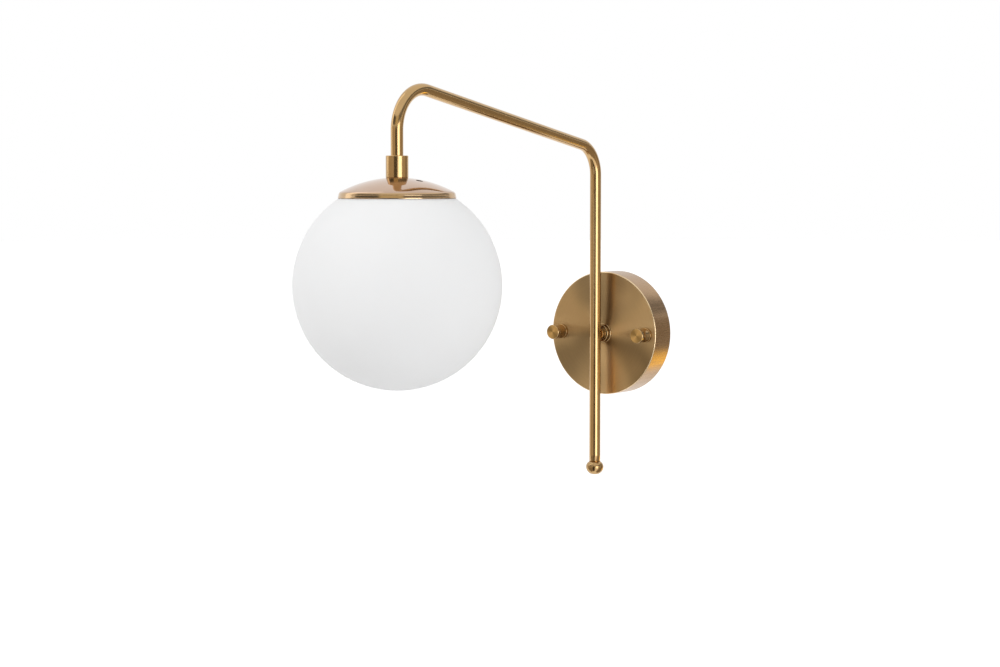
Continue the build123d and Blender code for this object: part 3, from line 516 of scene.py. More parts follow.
def drilled(mesh, places, radius, bottom, top):
    """A mesh with upright round holes cut through it."""
    body = object_of(mesh, "drill_body")
    drill = bmesh.new()
    for x, y in places:
        bmesh.ops.create_cone(
            drill, cap_ends=True, segments=48, radius1=radius, radius2=radius,
            depth=top - bottom, matrix=Matrix.Translation((x, y, (top + bottom) / 2)),
        )
    bit = object_of(drill, "drill_bit")
    cut = body.modifiers.new("holes", "BOOLEAN")
    cut.operation = "DIFFERENCE"
    cut.solver = "EXACT"
    cut.object = bit
    result = bmesh.new()
    graph = bpy.context.evaluated_depsgraph_get()
    result.from_mesh(bpy.data.meshes.new_from_object(body.evaluated_get(graph)))
    for item in (body, bit):
        bpy.data.objects.remove(item)
    return result


def threaded_rod(
    start, end, radius, depth, pitch, steps, bore=0.0, centre=(0, 0, 0), turn=UPRIGHT
):
    """A rod with thread rings between two heights, hollow where it has a bore."""
    outline = [(bore, start), (radius - depth, start)]
    height = start
    while end - height > pitch:
        outline.append((radius, height + pitch / 2))
        height += pitch
        outline.append((radius - depth, height))
    outline += [(radius - depth, end), (bore, end)]
    return turned(outline, centre, turn, steps, closed=bore > 0)


def helix_sheet(crest, root, pitch, top, bottom, start, end):
    """A round threaded sheet about the upright axis, plain above the start and below the end."""
    steps, profile, fade = 48, 8, 0.5 * pitch
    half = (crest - root) / 2
    shares = [step / profile for step in range(profile + 1)]
    mesh = outlined([(root + half * (1 - cos(2 * pi * s)), start - pitch * s) for s in shares])
    turns = int((start - end) / pitch) - 1
    spin(mesh, 2 * pi * turns, steps * turns, climb=-pitch / steps)
    bmesh.ops.remove_doubles(mesh, verts=mesh.verts, dist=1e-6)
    last = start - pitch * (turns + 1)
    for vert in mesh.verts:
        fade_in = (start - pitch - vert.co.z) / fade
        fade_out = (vert.co.z - last - pitch) / fade
        amount = max(0.0, min(1.0, fade_in, fade_out))
        radius = sqrt(vert.co.x ** 2 + vert.co.y ** 2)
        wanted = (root + (radius - root) * amount) / radius
        vert.co.x *= wanted
        vert.co.y *= wanted
    middle = (start + last) / 2
    for side, height in ((1, top), (-1, bottom)):
        rim = [e for e in mesh.edges if e.is_boundary and is_level_rim(e, side, middle)]
        for vert in bmesh.ops.extrude_edge_only(mesh, edges=rim)["geom"]:
            if isinstance(vert, bmesh.types.BMVert):
                vert.co.z = height
    bmesh.ops.remove_doubles(mesh, verts=mesh.verts, dist=1e-6)
    return mesh


def is_level_rim(edge, side, middle):
    """True for the edges along a thread's first or last turn, and not for its end profiles."""
    first, second = edge.verts
    around = (first.co.xy - second.co.xy).length > 0.3 * abs(first.co.z - second.co.z)
    return around and side * ((first.co.z + second.co.z) / 2 - middle) > 0


def place_thread(mesh, wall, name, finish, body, node):
    """Makes a piece of a threaded sheet on the lamp's axis, and gives it its thickness."""
    bmesh.ops.recalc_face_normals(mesh, faces=mesh.faces)
    bmesh.ops.translate(mesh, verts=mesh.verts, vec=lamp_axis())
    add_wall(place_piece(mesh, name, finish, body, finish, node, weighted=False), wall)


class Undoable:
    """Lets a user undo an operator."""

    bl_options = {"REGISTER", "UNDO"}


# ---- wall plate and its nuts ----
class SCONCE_OT_backplate(Undoable, bpy.types.Operator):
    """Make the brushed drum that covers the wall bracket"""

    bl_idname = "sconce.backplate"
    bl_label = "Backplate"
    def execute(self, context):
        radius, depth = high("canopy").x, -low("canopy").y
        wall, edge = 1.0 * MM, 0.9 * MM
        outline = [(radius * share, depth) for share in (0, 0.3, 0.6, 0.85)]
        outline += arc((radius - edge, depth - edge), edge, 90, 0, 6)
        outline += [(radius, depth / 2), (radius, 0), (radius - wall, 0)]
        outline += [(radius - wall, depth - wall), (radius * 0.5, depth - wall), (0, depth - wall)]
        mesh = turned(outline, turn=OUT_FROM_WALL, steps=192)
        soften(mesh, 0.2 * MM, 50)
        piece = place_piece(
            mesh, "backplate_drum", "plate_brass", "fixture", "antique_brass", "canopy"
        )
        refinish(piece, "plate_side_brass", lambda middle, normal: abs(normal.y) < 0.7)
        # Painted highlight on the rounded front edge, which is also more polished.
        refinish(piece, "plate_edge_brass_painted_highlight", lambda middle, normal: 0.2 < -normal.y < 0.95)
        return {"FINISHED"}


class SCONCE_OT_thumb_nuts(Undoable, bpy.types.Operator):
    """Make the two turned thumb nuts"""

    bl_idname = "sconce.thumb_nuts"
    bl_label = "Thumb nuts"
    def execute(self, context):
        for side in ("left", "right"):
            node = f"{side}_nut"
            centre = centre_of(node)
            outline = self.section(-high(node).y, -low(node).y)
            mesh = turned(outline, (centre.x, 0, centre.z), OUT_FROM_WALL)
            soften(mesh, 0.14 * MM)
            name, finish, body = f"thumb_nut_{side}", f"{side}_nut_brass", f"{side}_thumb_nut"
            piece = place_piece(mesh, name, finish, body, "antique_brass", node)
            # Painted shade: a darker copy of the nut brass on the sides.
            refinish(piece, "nut_side_brass_painted_shade", lambda middle, normal: abs(normal.y) < 0.8)
        return {"FINISHED"}

    def section(self, seat, front):
        """Points of a nut: dished face, head, neck, waisted barrel, groove, foot, blind bore."""
        head_radius, neck, groove, foot_radius = 5.9 * MM, 4.5 * MM, 4.6 * MM, 6.1 * MM
        chamfer, round_off, bore, bore_depth = 0.45 * MM, 0.5 * MM, 3.25 * MM, 10.25 * MM
        head, foot = front - 2.2 * MM, seat + 2.6 * MM
        barrel_front, barrel_back = head - 0.8 * MM, foot + 0.7 * MM
        dish = ((0, 0.12), (1.6, 0.10), (4.4, 0.02), (5.45, 0))
        points = [(radius * MM, front - sunk * MM) for radius, sunk in dish]
        points += [(head_radius, front - chamfer), (head_radius, head)]
        points += [(neck, head), (neck, barrel_front)]
        for step in range(9):
            share = step / 8
            radius = 5.5 + 0.3 * share - 0.95 * sin(pi * share)
            points.append((radius * MM, barrel_front + (barrel_back - barrel_front) * share))
        points += [(groove, barrel_back), (groove, foot)]
        points += arc((foot_radius - round_off, foot - round_off), round_off, 90, 0, 5)
        points += [(foot_radius, seat), (bore, seat)]
        return points + [(bore, seat + bore_depth), (0, seat + bore_depth)]


class SCONCE_OT_spacer(Undoable, bpy.types.Operator):
    """Make the turned spacer between the drum and the tube"""

    bl_idname = "sconce.spacer"
    bl_label = "Spacer"
    def execute(self, context):
        face, tip = -low("canopy").y, -low("stem_spacer").y
        foot, groove, body = face + 1.2 * MM, face + 1.9 * MM, face + 4.3 * MM
        flange, waist, barrel, saddle = 8.0 * MM, 6.5 * MM, 7.0 * MM, 5.4 * MM
        bore, chamfer = 3.6 * MM, 0.4 * MM
        outline = [(bore, face), (flange, face), (flange, foot - chamfer), (flange - chamfer, foot)]
        outline += [(waist, foot), (waist, groove), (barrel, groove), (barrel, body - chamfer)]
        outline += [(barrel - chamfer, body), (saddle, body), (saddle, tip), (bore, tip)]
        mesh = turned(outline, turn=OUT_FROM_WALL, closed=True)
        soften(mesh, 0.15 * MM)
        # Painted shade: the spacer's darker brass.
        place_piece(mesh, "spacer_turned", "spacer_brass_painted_shade", "fixture", "satin_brass", "stem_spacer")
        return {"FINISHED"}


# ---- arm ----
class SCONCE_OT_arm(Undoable, bpy.types.Operator):
    """Make the tube that is bent twice"""

    bl_idname = "sconce.arm"
    bl_label = "Arm"
    def execute(self, context):
        sizes = context.scene.sconce_arm
        rise = sizes.rise
        turn_up, turn_down = pi / 2 - rise, pi / 2 + rise
        tangent_wall = sizes.wall_bend * tan(turn_up / 2)
        tangent_outer = sizes.outer_bend * tan(turn_down / 2)
        run = sizes.reach - sizes.stand_off
        slant = run / cos(rise) - tangent_wall - tangent_outer
        bottom = low("arm_tube").z
        end = low("collar").z + 6.9 * MM
        outer_top = sizes.elbow_height + run * tan(rise)
        bend_start = sizes.elbow_height - tangent_wall
        self.mesh = bmesh.new()
        bmesh.ops.create_circle(self.mesh, segments=sizes.tube_sides, radius=sizes.tube_radius)
        foot = (0, -sizes.stand_off, bottom)
        bmesh.ops.translate(self.mesh, verts=self.mesh.verts, vec=foot)
        rim = self.push(self.mesh.edges[:], Vector((0, 0, bend_start - bottom)), 24)
        rim = self.bend(rim, (0, -sizes.stand_off - sizes.wall_bend, bend_start), turn_up)
        along = Vector((0, -cos(rise), sin(rise)))
        inwards = Vector((0, -sin(rise), -cos(rise)))
        rim = self.push(rim, along * slant, 24)
        corner = Vector((0, -sizes.reach, outer_top)) - along * tangent_outer
        rim = self.bend(rim, corner + inwards * sizes.outer_bend, turn_down)
        self.push(rim, Vector((0, 0, end - (outer_top - tangent_outer))), 4)
        bmesh.ops.recalc_face_normals(self.mesh, faces=self.mesh.faces)
        names = ("arm_bent_tube", "tube_brass", "fixture", "satin_brass", "arm_tube")
        add_wall(place_piece(self.mesh, *names, weighted=False), sizes.tube_wall)
        return {"FINISHED"}

    def push(self, rim, travel, steps):
        """Draws the tube's open end out along a line."""
        for _ in range(steps):
            made = bmesh.ops.extrude_edge_only(self.mesh, edges=rim)["geom"]
            fresh = {v for v in made if isinstance(v, bmesh.types.BMVert)}
            bmesh.ops.translate(self.mesh, verts=list(fresh), vec=travel / steps)
            rim = [e for e in made if isinstance(e, bmesh.types.BMEdge) and set(e.verts) <= fresh]
        return rim

    def bend(self, rim, centre, angle):
        """Draws the tube's open end round a bend that turns from up to out to down."""
        corners = list({v for e in rim for v in e.verts})
        made = spin(self.mesh, angle, 40, corners + rim, centre, (1, 0, 0))
        return [e for e in made["geom_last"] if isinstance(e, bmesh.types.BMEdge)]


class SCONCE_OT_finial(Undoable, bpy.types.Operator):
    """Make the ball on the tube's lower end"""

    bl_idname = "sconce.finial"
    bl_label = "Finial"
    def execute(self, context):
        bottom, floor = low("ball_finial").z, low("arm_tube").z
        radius, upper, lower, socket = 7.15 * MM, 4.7 * MM, 6.55 * MM, 4.52 * MM
        middle = bottom + 6.35 * MM
        mouth = degrees(acos((socket - radius + upper) / upper))
        outline = [(0, floor), (socket, floor)]
        outline += arc((radius - upper, middle), upper, mouth, 0, 12)
        belly = arc((radius - lower, middle), lower, 0, -62, 14)[1:]
        reach, rise = belly[-1][0], belly[-1][1] - bottom
        sag = (reach ** 2 + rise ** 2) / (2 * rise)
        end = degrees(asin(reach / sag))
        outline += belly + arc((0, bottom + sag), sag, -90 + end, -90, 5)[1:]
        mesh = turned(outline, rod_axis())
        soften(mesh, 0.1 * MM, 45)
        place_piece(mesh, "finial_ball", "finial_brass", "fixture", "satin_brass", "ball_finial")
        return {"FINISHED"}


class SCONCE_OT_collar(Undoable, bpy.types.Operator):
    """Make the collar between the tube and the dome cap"""

    bl_idname = "sconce.collar"
    bl_label = "Collar"
    def execute(self, context):
        bottom, top = low("collar").z, high("collar").z
        radius, edge, socket, bore = 8.1 * MM, 0.35 * MM, 4.52 * MM, 3.6 * MM
        step = top - 9 * MM
        outline = [(bore, bottom), (radius - edge, bottom), (radius, bottom + edge)]
        outline += [(radius, top - edge), (radius - edge, top)]
        outline += [(socket, top), (socket, step), (bore, step)]
        mesh = turned(outline, lamp_axis(), closed=True)
        soften(mesh, 0.12 * MM)
        place_piece(mesh, "collar_turned", "collar_brass", "fixture", "satin_brass", "collar")
        return {"FINISHED"}


class SCONCE_OT_dome_cap(Undoable, bpy.types.Operator):
    """Make the polished dome with its two vent holes"""

    bl_idname = "sconce.dome_cap"
    bl_label = "Dome cap"
    def execute(self, context):
        self.rim, top = low("dome_cap").z, high("dome_cap").z
        self.flare, self.seat = 0.6 * MM, 8.5 * MM
        wall, crown, shoulder, hole, lip = 0.8 * MM, 86 * MM, 3.0 * MM, 5.3 * MM, 0.5 * MM
        radius = 42.4 * MM - self.flare
        self.centre = top - sqrt(crown ** 2 - self.seat ** 2)
        outer = self.skin(radius, crown, shoulder, top, self.rim)
        inner = self.skin(radius - wall, crown - wall, shoulder - wall, top - wall, self.rim + lip)
        outline = [(hole, top), *outer, (radius + self.flare - wall + lip, self.rim)]
        outline += [*reversed(inner), (hole, top - wall)]
        mesh = turned(outline, lamp_axis(), steps=192, closed=True)
        soften(mesh, 0.12 * MM, 35, 2)
        vent = 2.5 * MM
        self.vents = [Vector((x * MM, lamp_axis().y)) for x in (-20, 20)]
        self.vent_edge = vent + 0.1 * MM
        mesh = drilled(mesh, self.vents, vent, self.rim + 5 * MM, top + 5 * MM)
        names = ("cap_dome", "cap_brass", "fixture", "polished_brass", "dome_cap")
        piece = place_piece(mesh, *names, weighted=False)
        refinish(piece, "cap_rim_brass", self.on_rim)
        # Painted shade inside the vents and under the dome.
        refinish(piece, "cap_inside_painted_shade", self.is_hidden)
        return {"FINISHED"}

    def on_rim(self, middle, normal):
        """True for the flared side and its rounded rim."""
        return middle.z < self.rim + 4.0 * MM and normal.z > -0.9

    def is_hidden(self, middle, normal):
        """True inside the vents and under the dome, whose faces get painted shade."""
        in_vent = min((middle.xy - vent).length for vent in self.vents) < self.vent_edge
        return in_vent or (normal.z < -0.2 and middle.z > self.rim + 0.6 * MM)

    def skin(self, radius, crown, shoulder, top, rim):
        """Points from the seat over the crown and the shoulder down the flared side to the rim."""
        reach = radius - shoulder
        tilt = asin(reach / (crown - shoulder))
        corner = (reach, self.centre + (crown - shoulder) * cos(tilt))
        start, side = degrees(acos(self.seat / crown)), 90 - degrees(tilt)
        points = [(self.seat, top)]
        points += arc((0, self.centre), crown, start, side, 28)[1:]
        points += arc(corner, shoulder, side, 0, 14)[1:]
        points += [(radius + self.flare * 0.55, (corner[1] + rim) / 2), (radius + self.flare, rim)]
        return points


class SCONCE_OT_globe(Undoable, bpy.types.Operator):
    """Make the opal glass globe with its open neck"""

    bl_idname = "sconce.globe"
    bl_label = "Globe"
    def execute(self, context):
        sizes = context.scene.sconce_glass
        radius, wall, neck = sizes.globe_radius, sizes.globe_wall, sizes.neck_radius
        centre, top = low("globe").z + radius, high("globe").z
        inner, bore, lip = radius - wall, neck - wall, 0.9 * MM
        outline = arc((0, centre), radius, -90, degrees(acos(neck / radius)), 96)
        outline += [(neck, (outline[-1][1] + top) / 2)]
        outline += arc((neck - lip, top - lip), lip, 0, 90, 6)
        outline += arc((bore + lip, top - lip), lip, 90, 180, 6)
        outline += [(bore, (outline[-1][1] + top) / 2 - 2 * MM)]
        outline += arc((0, centre), inner, degrees(acos(bore / inner)), -90, 72)
        mesh = turned(outline, lamp_axis(), steps=160)
        names = ("globe_opal", "opal_glass", "glass_globe", "opal_glass", "globe")
        place_piece(mesh, *names, sharp=60, weighted=False)
        return {"FINISHED"}


# ---- hidden hardware ----
class SCONCE_OT_bracket(Undoable, bpy.types.Operator):
    """Finish the wall bracket and make its threaded studs and the stem nipple"""

    bl_idname = "sconce.bracket"
    bl_label = "Wall bracket"
    def execute(self, context):
        dress("zinc_steel", "wall_bracket", "stud_lock_nuts", "stem_lock_washer", "stem_nut")
        dress("zinc_steel", "earth_screw", "block_screws", "left_nut_insert", "right_nut_insert")
        studs = bmesh.new()
        end = -low("bracket_studs").y - 0.2 * MM
        for x in (low("bracket_studs").x + 2 * MM, high("bracket_studs").x - 2 * MM):
            stud = threaded_rod(
                0.0, end, radius=1.99 * MM, depth=0.3 * MM, pitch=0.7 * MM, steps=28,
                centre=(x, 0, 0), turn=OUT_FROM_WALL,
            )
            data = bpy.data.meshes.new("stud")
            stud.to_mesh(data)
            stud.free()
            studs.from_mesh(data)
            bpy.data.meshes.remove(data)
        names = ("studs_threaded", "zinc_steel", "fixture", "zinc_steel", "bracket_studs")
        place_piece(studs, *names, sharp=60)
        start, end = -high("stem_nipple").y, -low("stem_nipple").y
        nipple = threaded_rod(start, end, **M10_PIPE, turn=OUT_FROM_WALL)
        names = ("stem_nipple_threaded", "zinc_steel", "fixture", "zinc_steel", "stem_nipple")
        place_piece(nipple, *names, sharp=60)
        return {"FINISHED"}


class SCONCE_OT_wiring(Undoable, bpy.types.Operator):
    """Finish the terminal block, the earth lug and the wires"""

    bl_idname = "sconce.wiring"
    bl_label = "Wiring"
    def execute(self, context):
        dress("terminal_plastic", "terminal_block")
        dress("contact_brass", "terminal_sleeves", "earth_lug")
        dress("terminal_steel", "terminal_screws")
        dress("brown_insulation", "live_wire")
        dress("blue_insulation", "neutral_wire")
        dress("green_yellow_insulation", "earth_wire")
        return {"FINISHED"}


class SCONCE_OT_clips(Undoable, bpy.types.Operator):
    """Finish the spring clips and make the upper nipple"""

    bl_idname = "sconce.clips"
    bl_label = "Globe clips"
    def execute(self, context):
        dress("spring_steel", "clip_plate", "glass_clips", "clip_rivets")
        dress("zinc_steel", "cap_lock_nut")
        start, end = low("holder_nipple").z, high("holder_nipple").z
        nipple = threaded_rod(start, end, **M10_PIPE, centre=lamp_axis())
        names = ("cap_nipple_threaded", "zinc_steel", "fixture", "zinc_steel", "holder_nipple")
        place_piece(nipple, *names, sharp=60)
        return {"FINISHED"}


class SCONCE_OT_lampholder(Undoable, bpy.types.Operator):
    """Make the ribbed lampholder and its threaded shell"""

    bl_idname = "sconce.lampholder"
    bl_label = "Lampholder"
    radius = 19.5 * MM
    bore = 17.5 * MM

    def execute(self, context):
        dress("porcelain", "contact_block")
        dress("contact_brass", "contact_screws", "centre_contact")
        joint = low("lampholder_cap").z
        grip = (joint + 0.3 * MM, joint + 5.7 * MM)
        self.moulding("holder_cap", self.cap_outline(joint), grip, "lampholder_cap")
        ring = joint - 8 * MM
        grip = (ring + 0.3 * MM, joint - 0.3 * MM)
        self.moulding("holder_shell", self.shell_outline(joint, ring), grip, "lampholder_shell")
        top, bottom = high("screw_shell").z, low("screw_shell").z
        mesh = helix_sheet(14.0 * MM, 13.6 * MM, LAMP_PITCH, top, bottom, top, bottom)
        place_thread(mesh, 0.2 * MM, "holder_thread", "contact_brass", "fixture", "screw_shell")
        return {"FINISHED"}

    def cap_outline(self, joint):
        """Points of the upper half, round its crown, its side and its hollow."""
        top, floor = high("lampholder_cap").z, low("holder_nipple").z
        entry, crown, hollow = 5.02 * MM, 9 * MM, joint + 5 * MM
        side_top, middle = (self.radius, joint + 6 * MM), (16.3 * MM, top - 4.2 * MM)
        points = [(entry, top), (crown, top), *self.shoulder(side_top, middle, (crown, top))]
        points += [(self.radius, hollow), (self.radius, joint + 1 * MM), (self.radius, joint)]
        return points + [(self.bore, joint), (self.bore, hollow), (crown, floor), (entry, floor)]

    def shell_outline(self, joint, ring):
        """Points of the lower half, round its fluted side, its skirt and its stepped bore."""
        bottom = low("lampholder_shell").z
        seat, ledge = bottom + 2 * MM, joint - 9 * MM
        mouth, sleeve = 14.8 * MM, 16 * MM
        points = [(self.bore, joint), (self.radius, joint), (self.radius, joint - 1 * MM)]
        points += [(self.radius, ring + 1 * MM), (self.radius, ring), (18.7 * MM, ring - 1 * MM)]
        points += [(18.3 * MM, bottom + 1 * MM), (17.3 * MM, bottom), (mouth, bottom)]
        return points + [(mouth, seat), (sleeve, seat), (sleeve, ledge), (self.bore, ledge)]

    def shoulder(self, start, middle, end):
        """Points on a smooth curve through a middle point, from the end back to the start."""
        start, middle, end = Vector(start), Vector(middle), Vector(end)
        control = 2 * middle - (start + end) / 2
        shares = [step / 12 for step in range(1, 13)]
        return [s ** 2 * start + 2 * s * (1 - s) * control + (1 - s) ** 2 * end for s in shares]

    def moulding(self, name, outline, grip, node):
        """Makes one half, with flutes in every other column between two heights of its side."""
        columns, flute, near = 120, 0.5 * MM, 0.01 * MM
        axis = lamp_axis().xy
        mesh = turned(outline, lamp_axis(), steps=columns, closed=True)
        for vert in mesh.verts:
            across = vert.co.xy - axis
            on_side = abs(across.length - self.radius) < near and grip[0] < vert.co.z < grip[1]
            column = round(across.angle_signed(Vector((1, 0))) / (2 * pi) * columns)
            if on_side and column % 2:
                vert.co.x, vert.co.y = axis + across * (self.radius - flute) / self.radius
        soften(mesh, 0.25 * MM, 40)
        place_piece(mesh, name, "black_phenolic", "fixture", "black_phenolic", node)


class SCONCE_OT_lamp(Undoable, bpy.types.Operator):
    """Make the screw lamp"""

    bl_idname = "sconce.lamp"
    bl_label = "Lamp"
    def execute(self, context):
        sizes = context.scene.sconce_glass
        top, bottom = high("bulb_cap").z, low("bulb_cap").z
        start = top + 0.6 * LAMP_PITCH
        mesh = helix_sheet(13.2 * MM, 12.3 * MM, LAMP_PITCH, top, bottom, start, bottom)
        bmesh.ops.bisect_plane(
            mesh, geom=mesh.verts[:] + mesh.edges[:] + mesh.faces[:],
            plane_co=(0, 0, top), plane_no=(0, 0, 1), clear_outer=True,
        )
        place_thread(mesh, 0.3 * MM, "lamp_screw_cap", "nickel_cap", "lamp", "bulb_cap")
        ball, wall = sizes.lamp_radius, sizes.lamp_wall
        centre, crown = low("bulb_glass").z + ball, high("bulb_glass").z
        neck, tuck, throat, step = 12.4 * MM, 11.58 * MM, 8 * MM, bottom + 0.6 * MM
        outline = self.envelope(ball, centre, neck, throat, bottom)
        outline += [(tuck, step), (tuck, crown), (tuck - wall, crown), (tuck - wall, step)]
        outline += reversed(self.envelope(ball - wall, centre, neck - wall, throat + wall, bottom))
        names = ("lamp_envelope", "lamp_glass", "lamp", "lamp_glass", "bulb_glass")
        place_piece(turned(outline, lamp_axis()), *names, sharp=70, weighted=False)
        dress("nickel_cap", "bulb_contact", "bulb_leads")
        dress("lamp_insulator", "bulb_insulator")
        dress("lamp_glass", "bulb_stem")
        dress("phosphor", "bulb_filaments")
        return {"FINISHED"}

    def envelope(self, ball, centre, neck, throat, end):
        """Points of the lamp's outline, from the bottom of its ball up to its neck."""
        reach = neck + throat
        tilt = acos(reach / (ball + throat))
        points = arc((0, centre), ball, -90, degrees(tilt), 36)
        middle = (reach, centre + (ball + throat) * sin(tilt))
        points += arc(middle, throat, degrees(tilt) + 180, 180, 10)[1:]
        return points + [(neck, end)]


# ---- stage ----
WHITE = (1.0, 1.0, 1.0)
WARM = (1.0, 0.86, 0.68)
AIM = (0, -0.15, 0.05)
SHOWN, AMBIENT, FLOOR_GLOW = 1.0, 0.76, 0.46
# name, place, width and power
LAMPS = (
    ("key", (-1.3, -2.0, 1.5), 1.6, 16.5),
    ("fill", (1.9, -1.0, 0.7), 1.4, 10.5),
)
# name, first and last angle, strength, bottom, top and tint: the angles are degrees round the
# light, from the side that faces the camera towards the camera's right
CARDS = (
    ("card_dim_left", -104, -30, 0.62, -0.74, 0.50, WARM),
    ("card_black_left", -30, 3, 0.11, -0.74, 0.50, WARM),
    ("card_key_right", 14, 46, 3.6, -0.74, 0.60, WHITE),
    ("card_pale_right", 50, 92, 0.60, -0.74, 0.50, WARM),
    ("card_grey_right", 92, 126, 0.36, -0.74, 0.50, WARM),
    ("card_high_dark", -86, -34, 0.13, 0.62, 1.45, WHITE),
    ("card_high_gold", -34, 12, 0.75, 0.62, 1.45, (1.0, 0.90, 0.62)),
    ("card_high_brown", 12, 130, 0.26, 0.62, 1.45, WHITE),
)
# name, first and last angle as above, and strength
APRONS = (
    ("apron_dim_left", -104, -30, 0.40),
    ("apron_black_left", -30, 3, 0.08),
    ("apron_dim_right", 50, 126, 0.40),
)
# name, centre, width and height, strength and tint
PANELS = (
    ("panel_near_left", (-0.28, -0.36, 0.39), (0.14, 0.60), 1.7, WHITE),
    ("panel_warm_low", (0.33, 0.95, -0.50), (0.34, 0.30), 2.3, (1.0, 0.70, 0.16)),
)


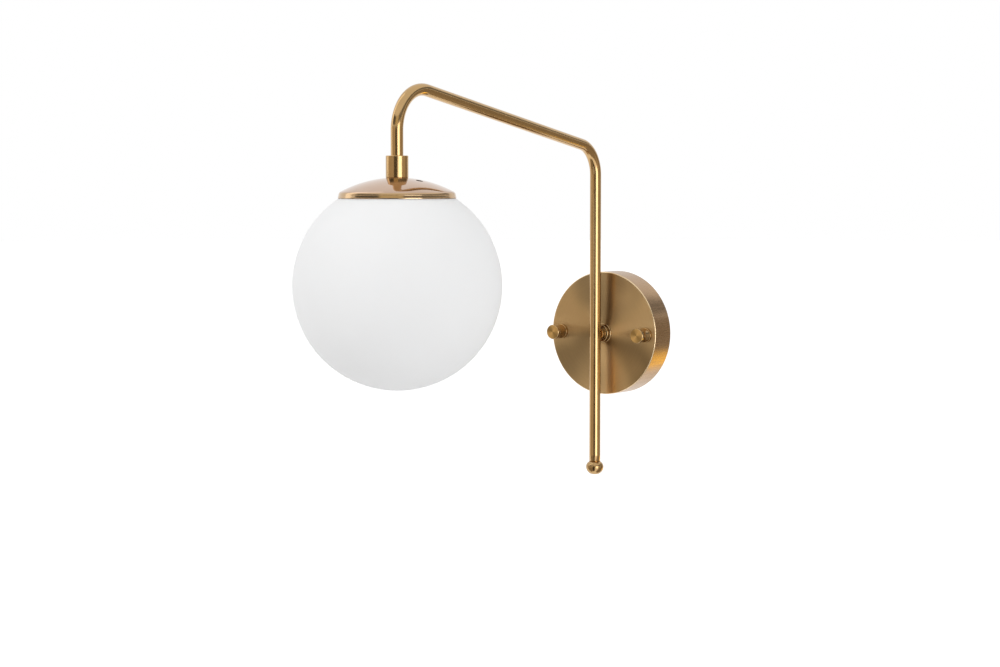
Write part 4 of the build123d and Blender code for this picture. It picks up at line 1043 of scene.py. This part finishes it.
class SCONCE_OT_stage(Undoable, bpy.types.Operator):
    """Make the camera, the floor, the lamps and the studio's cards"""

    bl_idname = "sconce.stage"
    bl_label = "Stage"
    def execute(self, context):
        scene, stage = context.scene, context.scene.sconce_stage
        data = bpy.data.cameras.new("photo_camera")
        data.lens = stage.lens
        data.sensor_width = 36.0
        camera = bpy.data.objects.new("photo_camera", data)
        camera.location = stage.camera_place
        camera.rotation_euler = (pi / 2 + stage.tilt, 0, stage.turn)
        scene.collection.objects.link(camera)
        scene.camera = camera
        scene.view_settings.view_transform = "Standard"
        self.floor(stage.floor_drop)
        self.sky(scene)
        for lamp in LAMPS:
            self.lamp(scene, *lamp)
        far, level = stage.card_distance, 0.01 - stage.floor_drop
        for name, first, last, strength, bottom, top, tint in CARDS:
            self.card(stage, name, first, last, ((far, bottom), (far, top)), strength, tint)
        for name, first, last, strength in APRONS:
            self.card(stage, name, first, last, ((0.25, level), (far, level)), strength, WARM)
        for panel in PANELS:
            self.panel(*panel)
        return {"FINISHED"}

    def floor(self, drop):
        """A wide pale floor that shows white and keeps the shadow."""
        mesh = bmesh.new()
        place = Matrix.Translation((0, 0, -drop))
        bmesh.ops.create_circle(mesh, cap_ends=True, segments=96, radius=30.0, matrix=place)
        paint = bpy.data.materials.new("pale_floor")
        paint.use_nodes = True
        tree = paint.node_tree
        sockets = tree.nodes["Principled BSDF"].inputs
        sockets["Base Color"].default_value = (0.86, 0.86, 0.86, 1.0)
        sockets["Roughness"].default_value = 0.8
        sockets["Emission Color"].default_value = (*WHITE, 1.0)
        values = {0: self.seen(tree), 1: FLOOR_GLOW}
        glow = add_node(tree, "ShaderNodeMath", values, operation="MULTIPLY")
        tree.links.new(glow.outputs[0], sockets["Emission Strength"])
        item = object_of(mesh, "floor")
        item.data.materials.append(paint)

    def seen(self, tree):
        """1 for camera, glossy and transmission rays, else 0."""
        rays = add_node(tree, "ShaderNodeLightPath").outputs
        value = rays["Is Camera Ray"]
        for kind in ("Is Glossy Ray", "Is Transmission Ray"):
            values = {0: value, 1: rays[kind]}
            value = add_node(tree, "ShaderNodeMath", values, operation="MAXIMUM").outputs[0]
        return value

    def sky(self, scene):
        """A white background, with a softer light on the object."""
        scene.world = bpy.data.worlds.new("studio")
        scene.world.use_nodes = True
        tree = scene.world.node_tree
        shown = tree.nodes["Background"]
        shown.inputs["Color"].default_value = (*WHITE, 1.0)
        shown.inputs["Strength"].default_value = SHOWN
        values = {"Color": (*WHITE, 1.0), "Strength": AMBIENT}
        ambient = add_node(tree, "ShaderNodeBackground", values)
        values = {0: self.seen(tree), 1: ambient.outputs[0], 2: shown.outputs[0]}
        mixed = add_node(tree, "ShaderNodeMixShader", values)
        tree.links.new(mixed.outputs[0], tree.nodes["World Output"].inputs["Surface"])

    def lamp(self, scene, name, place, width, power):
        """A soft square lamp that faces the object and stays out of its reflections."""
        data = bpy.data.lights.new(name, "AREA")
        data.shape = "SQUARE"
        data.size = width
        data.energy = power
        lamp = bpy.data.objects.new(name, data)
        lamp.location = place
        lamp.rotation_euler = (Vector(AIM) - Vector(place)).to_track_quat("-Z", "Y").to_euler()
        lamp.visible_glossy = False
        lamp.visible_camera = False
        scene.collection.objects.link(lamp)

    def card(self, stage, name, first, last, edge, strength, tint):
        """A studio card: an edge of (distance, height) points swung round the light."""
        ahead = stage.turn - pi / 2
        first, last = ahead + radians(first), ahead + radians(last)
        mesh = bmesh.new()
        mesh.edges.new([mesh.verts.new((r * cos(first), r * sin(first), z)) for r, z in edge])
        spin(mesh, last - first, 12)
        bmesh.ops.translate(mesh, verts=mesh.verts, vec=(0, AIM[1], 0))
        self.shine(mesh, name, strength, tint)

    def panel(self, name, centre, extent, strength, tint):
        """A flat studio panel, turned towards the light."""
        sight = Vector((0, AIM[1], centre[2] * 0.5)) - Vector(centre)
        facing = sight.to_track_quat("Z", "Y").to_matrix().to_4x4()
        place = Matrix.Translation(centre) @ facing @ Matrix.Diagonal((*extent, 1.0, 1.0))
        mesh = bmesh.new()
        bmesh.ops.create_grid(mesh, size=0.5, matrix=place)
        self.shine(mesh, name, strength, tint)

    def shine(self, mesh, name, strength, tint):
        """Makes an object of a mesh, that shines in reflections and nowhere else."""
        paint = bpy.data.materials.new(name)
        paint.use_nodes = True
        tree = paint.node_tree
        tree.nodes.remove(tree.nodes["Principled BSDF"])
        values = {"Color": (*tint, 1.0), "Strength": strength}
        glow = add_node(tree, "ShaderNodeEmission", values)
        tree.links.new(glow.outputs[0], tree.nodes["Material Output"].inputs["Surface"])
        item = object_of(mesh, name)
        item.data.materials.append(paint)
        for ray in ("camera", "diffuse", "shadow", "transmission"):
            setattr(item, f"visible_{ray}", False)


OPERATORS = (
    SCONCE_OT_stage,
    SCONCE_OT_backplate,
    SCONCE_OT_thumb_nuts,
    SCONCE_OT_spacer,
    SCONCE_OT_arm,
    SCONCE_OT_finial,
    SCONCE_OT_collar,
    SCONCE_OT_dome_cap,
    SCONCE_OT_globe,
    SCONCE_OT_bracket,
    SCONCE_OT_wiring,
    SCONCE_OT_clips,
    SCONCE_OT_lampholder,
    SCONCE_OT_lamp,
)


class SCONCE_PT_panel(bpy.types.Panel):
    """Lists the sizes, the finishes and the pieces"""

    bl_label = "Globe wall sconce"
    bl_idname = "SCONCE_PT_panel"
    bl_space_type = "VIEW_3D"
    bl_region_type = "UI"
    bl_category = "Sconce"

    def draw(self, context):
        layout = self.layout
        for name, group in GROUPS.items():
            box = layout.box()
            for prop in group.__annotations__:
                box.prop(getattr(context.scene, name), prop)
        for operator in OPERATORS:
            layout.operator(operator.bl_idname)


def register():
    for group in GROUPS.values():
        bpy.utils.register_class(group)
    for name, group in GROUPS.items():
        setattr(bpy.types.Scene, name, PointerProperty(type=group))
    for operator in OPERATORS:
        bpy.utils.register_class(operator)
    bpy.utils.register_class(SCONCE_PT_panel)


def unregister():
    bpy.utils.unregister_class(SCONCE_PT_panel)
    for operator in reversed(OPERATORS):
        bpy.utils.unregister_class(operator)
    for name in GROUPS:
        delattr(bpy.types.Scene, name)
    for group in GROUPS.values():
        bpy.utils.unregister_class(group)


def main():
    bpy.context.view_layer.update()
    register()
    for operator in OPERATORS:
        group, name = operator.bl_idname.split(".")
        getattr(getattr(bpy.ops, group), name)()


if __name__ == "__main__":
    main()
